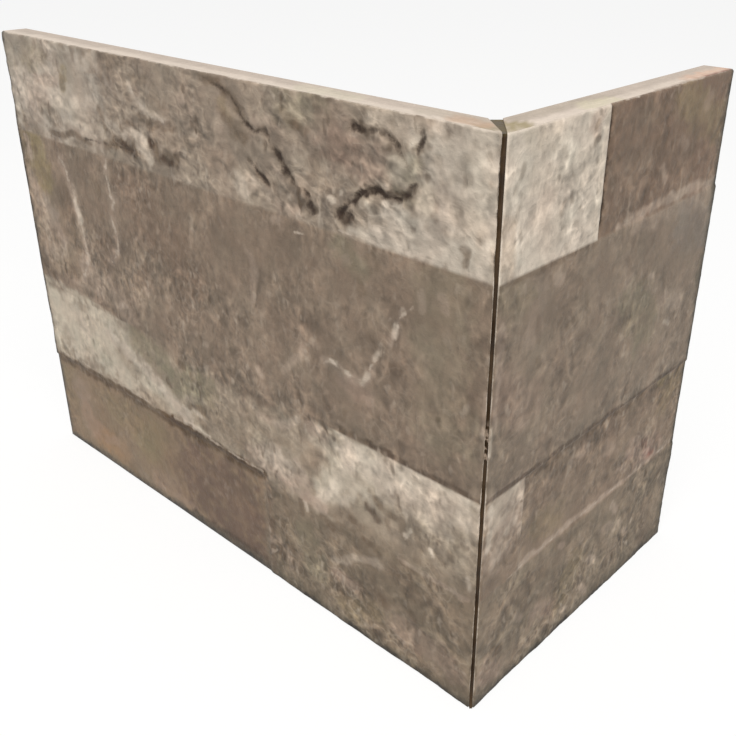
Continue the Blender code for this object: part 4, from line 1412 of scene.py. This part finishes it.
def resin_piece(name):
    """The wedge as a closed skin of section times height, its outer skin slumped and uneven.

    The section runs round the wedge: across the outer skin, in along one sawn face, across
    the inner end and out again. The outer skin sinks in the middle and with seeded hills,
    and comes forward over the foot, where the resin gathered before it set.
    """
    outer = joint_at_face / 2 + resin_recess
    inner = sqrt(2) * slab + joint_at_back / 2 - resin_top_recess
    across = np.linspace(-1.0, 1.0, resin_columns)
    deep = np.linspace(outer, inner, resin_columns)[1:-1]
    inwards = np.concatenate([np.full(resin_columns, outer), deep, np.full(resin_columns, inner), deep[::-1]])
    sideways = np.concatenate([across, np.ones(len(deep)), across[::-1], -np.ones(len(deep))])
    rises = np.linspace(resin_top_recess, height - resin_top_recess, resin_rows)
    section_in, up = np.meshgrid(inwards, rises)
    side, _ = np.meshgrid(sideways, rises)
    outer_skin = np.clip(1.0 - (section_in - outer) / resin_skin, 0.0, 1.0) * (1.0 - np.abs(side))
    uneven = layered(up, side * mm, resin_hill_sizes, coarse_and_fine, resin_seed)
    slump = resin_slump + resin_slump * uneven
    foot = np.clip(1.0 - up / resin_foot, 0.0, 1.0)
    gathered = resin_gathered * foot * foot * (section_in < outer + slump)
    section_in = section_in + outer_skin * slump * (1.0 - foot) - gathered
    width = (joint_half_width(section_in) - resin_clearance) * side
    to_inside = np.array((-1.0, 1.0, 0.0)) / sqrt(2)
    to_side = np.array((1.0, 1.0, 0.0)) / sqrt(2)
    spots = np.array(corner) + section_in[..., None] * to_inside + width[..., None] * to_side
    spots[..., 2] += up
    count = len(inwards)
    ring = np.arange(resin_rows * count).reshape(resin_rows, count)
    walls = cells(np.hstack([ring, ring[:, :1]]))[:, ::-1]
    faces = [*walls.tolist(), ring[0][::-1].tolist(), ring[-1].tolist()]
    mesh = bpy.data.meshes.new(name)
    mesh.from_pydata(spots.reshape(-1, 3).tolist(), [], faces)
    mesh.shade_smooth()
    mesh.set_sharp_from_angle(angle=radians(50))
    return into_scene(name, mesh)


def resin_material():
    """Dark brown resin: satin, cloudy, silted where it shows on top, with crumbs of stone."""
    material, tree, shader = start_material("cast_resin", Specular_IOR_Level=0.22)
    place = put(tree, "TexCoord").outputs["Object"]
    places = put(tree, "SeparateXYZ", {0: place}).outputs
    cloud = calc(tree, "MULTIPLY_ADD", noise(tree, place, 160.0, 4.0, 0.6, 0.4), 2.4, 0.5, clamp=True)
    body = tint(tree, cloud, paint(44, 32, 20), paint(80, 62, 42))
    silt = tint(tree, cloud, paint(60, 50, 31), paint(112, 97, 62))
    top = mapped(tree, places["Z"], height - 1.0 * mm, height - 0.4 * mm, 0.0, 1.0)
    silted = laid(tree, top, 0.85, body, silt)
    from_chips = calc(tree, "ABSOLUTE", calc(tree, "SUBTRACT", places["Z"], chips_at))
    chipped = mapped(tree, from_chips, 2.0 * mm, 7.0 * mm, 1.0, 0.0)
    outside = mapped(tree, places["X"], corner.x - 3.0 * mm, corner.x - 2.0 * mm, 0.0, 0.85)
    crumbs = calc(tree, "MULTIPLY_ADD", noise(tree, place, 620.0, 2.0), 12.0, -0.2, clamp=True)
    dusted = laid(tree, crumbs, calc(tree, "MULTIPLY", chipped, outside), silted, paint(190, 172, 154))
    grained = use_group(tree, fired_grain, Place=place, Colour=dusted, Coarse=0.5, Fine=0.3)
    tree.links.new(grained["Colour"], shader.inputs["Base Color"])
    tree.links.new(calc(tree, "MULTIPLY_ADD", cloud, 0.25, 0.40), shader.inputs["Roughness"])
    tree.links.new(bumped(tree, grained["Height"], 0.0002, 0.5), shader.inputs["Normal"])
    return material


resin_line = resin_piece("mitre_resin_line")
resin_line.data.materials.append(resin_material())
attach(resin_line, "root")
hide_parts("mitre_resin")


# Studio. A white floor that keeps the shadow, a white room behind it, a broad soft lamp above
# the corner and the camera of the photograph.
floor_half = 3.0
floor_drop = 0.02 * mm
room_light = 0.46
lamp_power = 11.5
lamp_size = 0.9
lamp_distance = 1.3
lamp_azimuth = radians(40)
lamp_elevation = radians(52)
lamp_colour = (1.0, 0.975, 0.94)
card_colour = (0.80, 0.80, 0.79, 1.0)
card_glow = 1.12
card_glow_share = 0.72
white = (1.0, 1.0, 1.0, 1.0)

camera_place = Vector((0.19814, -0.19015, 0.19014))
camera_azimuth = radians(41.862)
camera_elevation = radians(26.302)
camera_roll = radians(0.617)
camera_lens = 44.63
camera_sensor = 36.0
camera_near = 0.01
camera_shift = (-0.0442, -0.0314)


def seen_share(tree):
    """1 for rays from the camera, a mirror or glass, 0 for those that light the piece."""
    rays = put(tree, "LightPath").outputs
    mirrored = calc(tree, "MAXIMUM", rays["Is Glossy Ray"], rays["Is Transmission Ray"])
    return calc(tree, "MAXIMUM", rays["Is Camera Ray"], mirrored)


def floor_material():
    """White card: its shadow stays, and the rest of it is seen as white."""
    material = bpy.data.materials.new("white_card")
    material.use_nodes = True
    tree = material.node_tree
    tree.nodes.clear()
    card = put(tree, "BsdfDiffuse", {"Color": card_colour}).outputs[0]
    glow = put(tree, "Emission", {"Color": white, "Strength": card_glow}).outputs[0]
    share = calc(tree, "MULTIPLY", seen_share(tree), card_glow_share)
    mixed = put(tree, "MixShader", {0: share, 1: card, 2: glow}).outputs[0]
    tree.links.new(mixed, put(tree, "OutputMaterial").inputs["Surface"])
    return material


floor_mesh = bpy.data.meshes.new("floor")
floor_mesh.from_pydata(
    [(x * floor_half, y * floor_half, -floor_drop) for x, y in ((-1, -1), (1, -1), (1, 1), (-1, 1))],
    [],
    [(0, 1, 2, 3)],
)
floor = into_scene("floor", floor_mesh)
floor.data.materials.append(floor_material())

room = bpy.data.worlds.new("room")
bpy.context.scene.world = room
room.use_nodes = True
room_tree = room.node_tree
room_back = room_tree.nodes["Background"]
room_back.inputs["Color"].default_value = white
room_strength = mapped(room_tree, seen_share(room_tree), 0.0, 1.0, room_light, 1.0)
room_tree.links.new(room_strength, room_back.inputs["Strength"])


def facing(azimuth, elevation):
    """The direction from the piece towards a place at that azimuth and elevation."""
    return Vector((sin(azimuth) * cos(elevation), -cos(azimuth) * cos(elevation), sin(elevation)))


lamp_data = bpy.data.lights.new("soft_lamp", "AREA")
lamp_data.shape = "SQUARE"
lamp_data.size = lamp_size
lamp_data.energy = lamp_power
lamp_data.color = lamp_colour
lamp = into_scene("soft_lamp", lamp_data)
lamp_back = facing(lamp_azimuth, lamp_elevation)
lamp_turn = lamp_back.to_track_quat("Z", "Y").to_matrix().to_4x4()
lamp.matrix_world = Matrix.Translation(lamp_back * lamp_distance) @ lamp_turn

camera_data = bpy.data.cameras.new("camera")
camera_data.sensor_width = camera_sensor
camera_data.lens = camera_lens
camera_data.shift_x, camera_data.shift_y = camera_shift
camera_data.clip_start = camera_near
camera = into_scene("camera", camera_data)
back = facing(camera_azimuth, camera_elevation)
right = Vector((0.0, 0.0, 1.0)).cross(back).normalized()
above = back.cross(right)
turned_right = cos(camera_roll) * right + sin(camera_roll) * above
turned_above = cos(camera_roll) * above - sin(camera_roll) * right
camera_turn = Matrix((turned_right, turned_above, back)).transposed().to_4x4()
camera.matrix_world = Matrix.Translation(camera_place) @ camera_turn
bpy.context.scene.camera = camera
bpy.context.scene.view_settings.view_transform = "Standard"
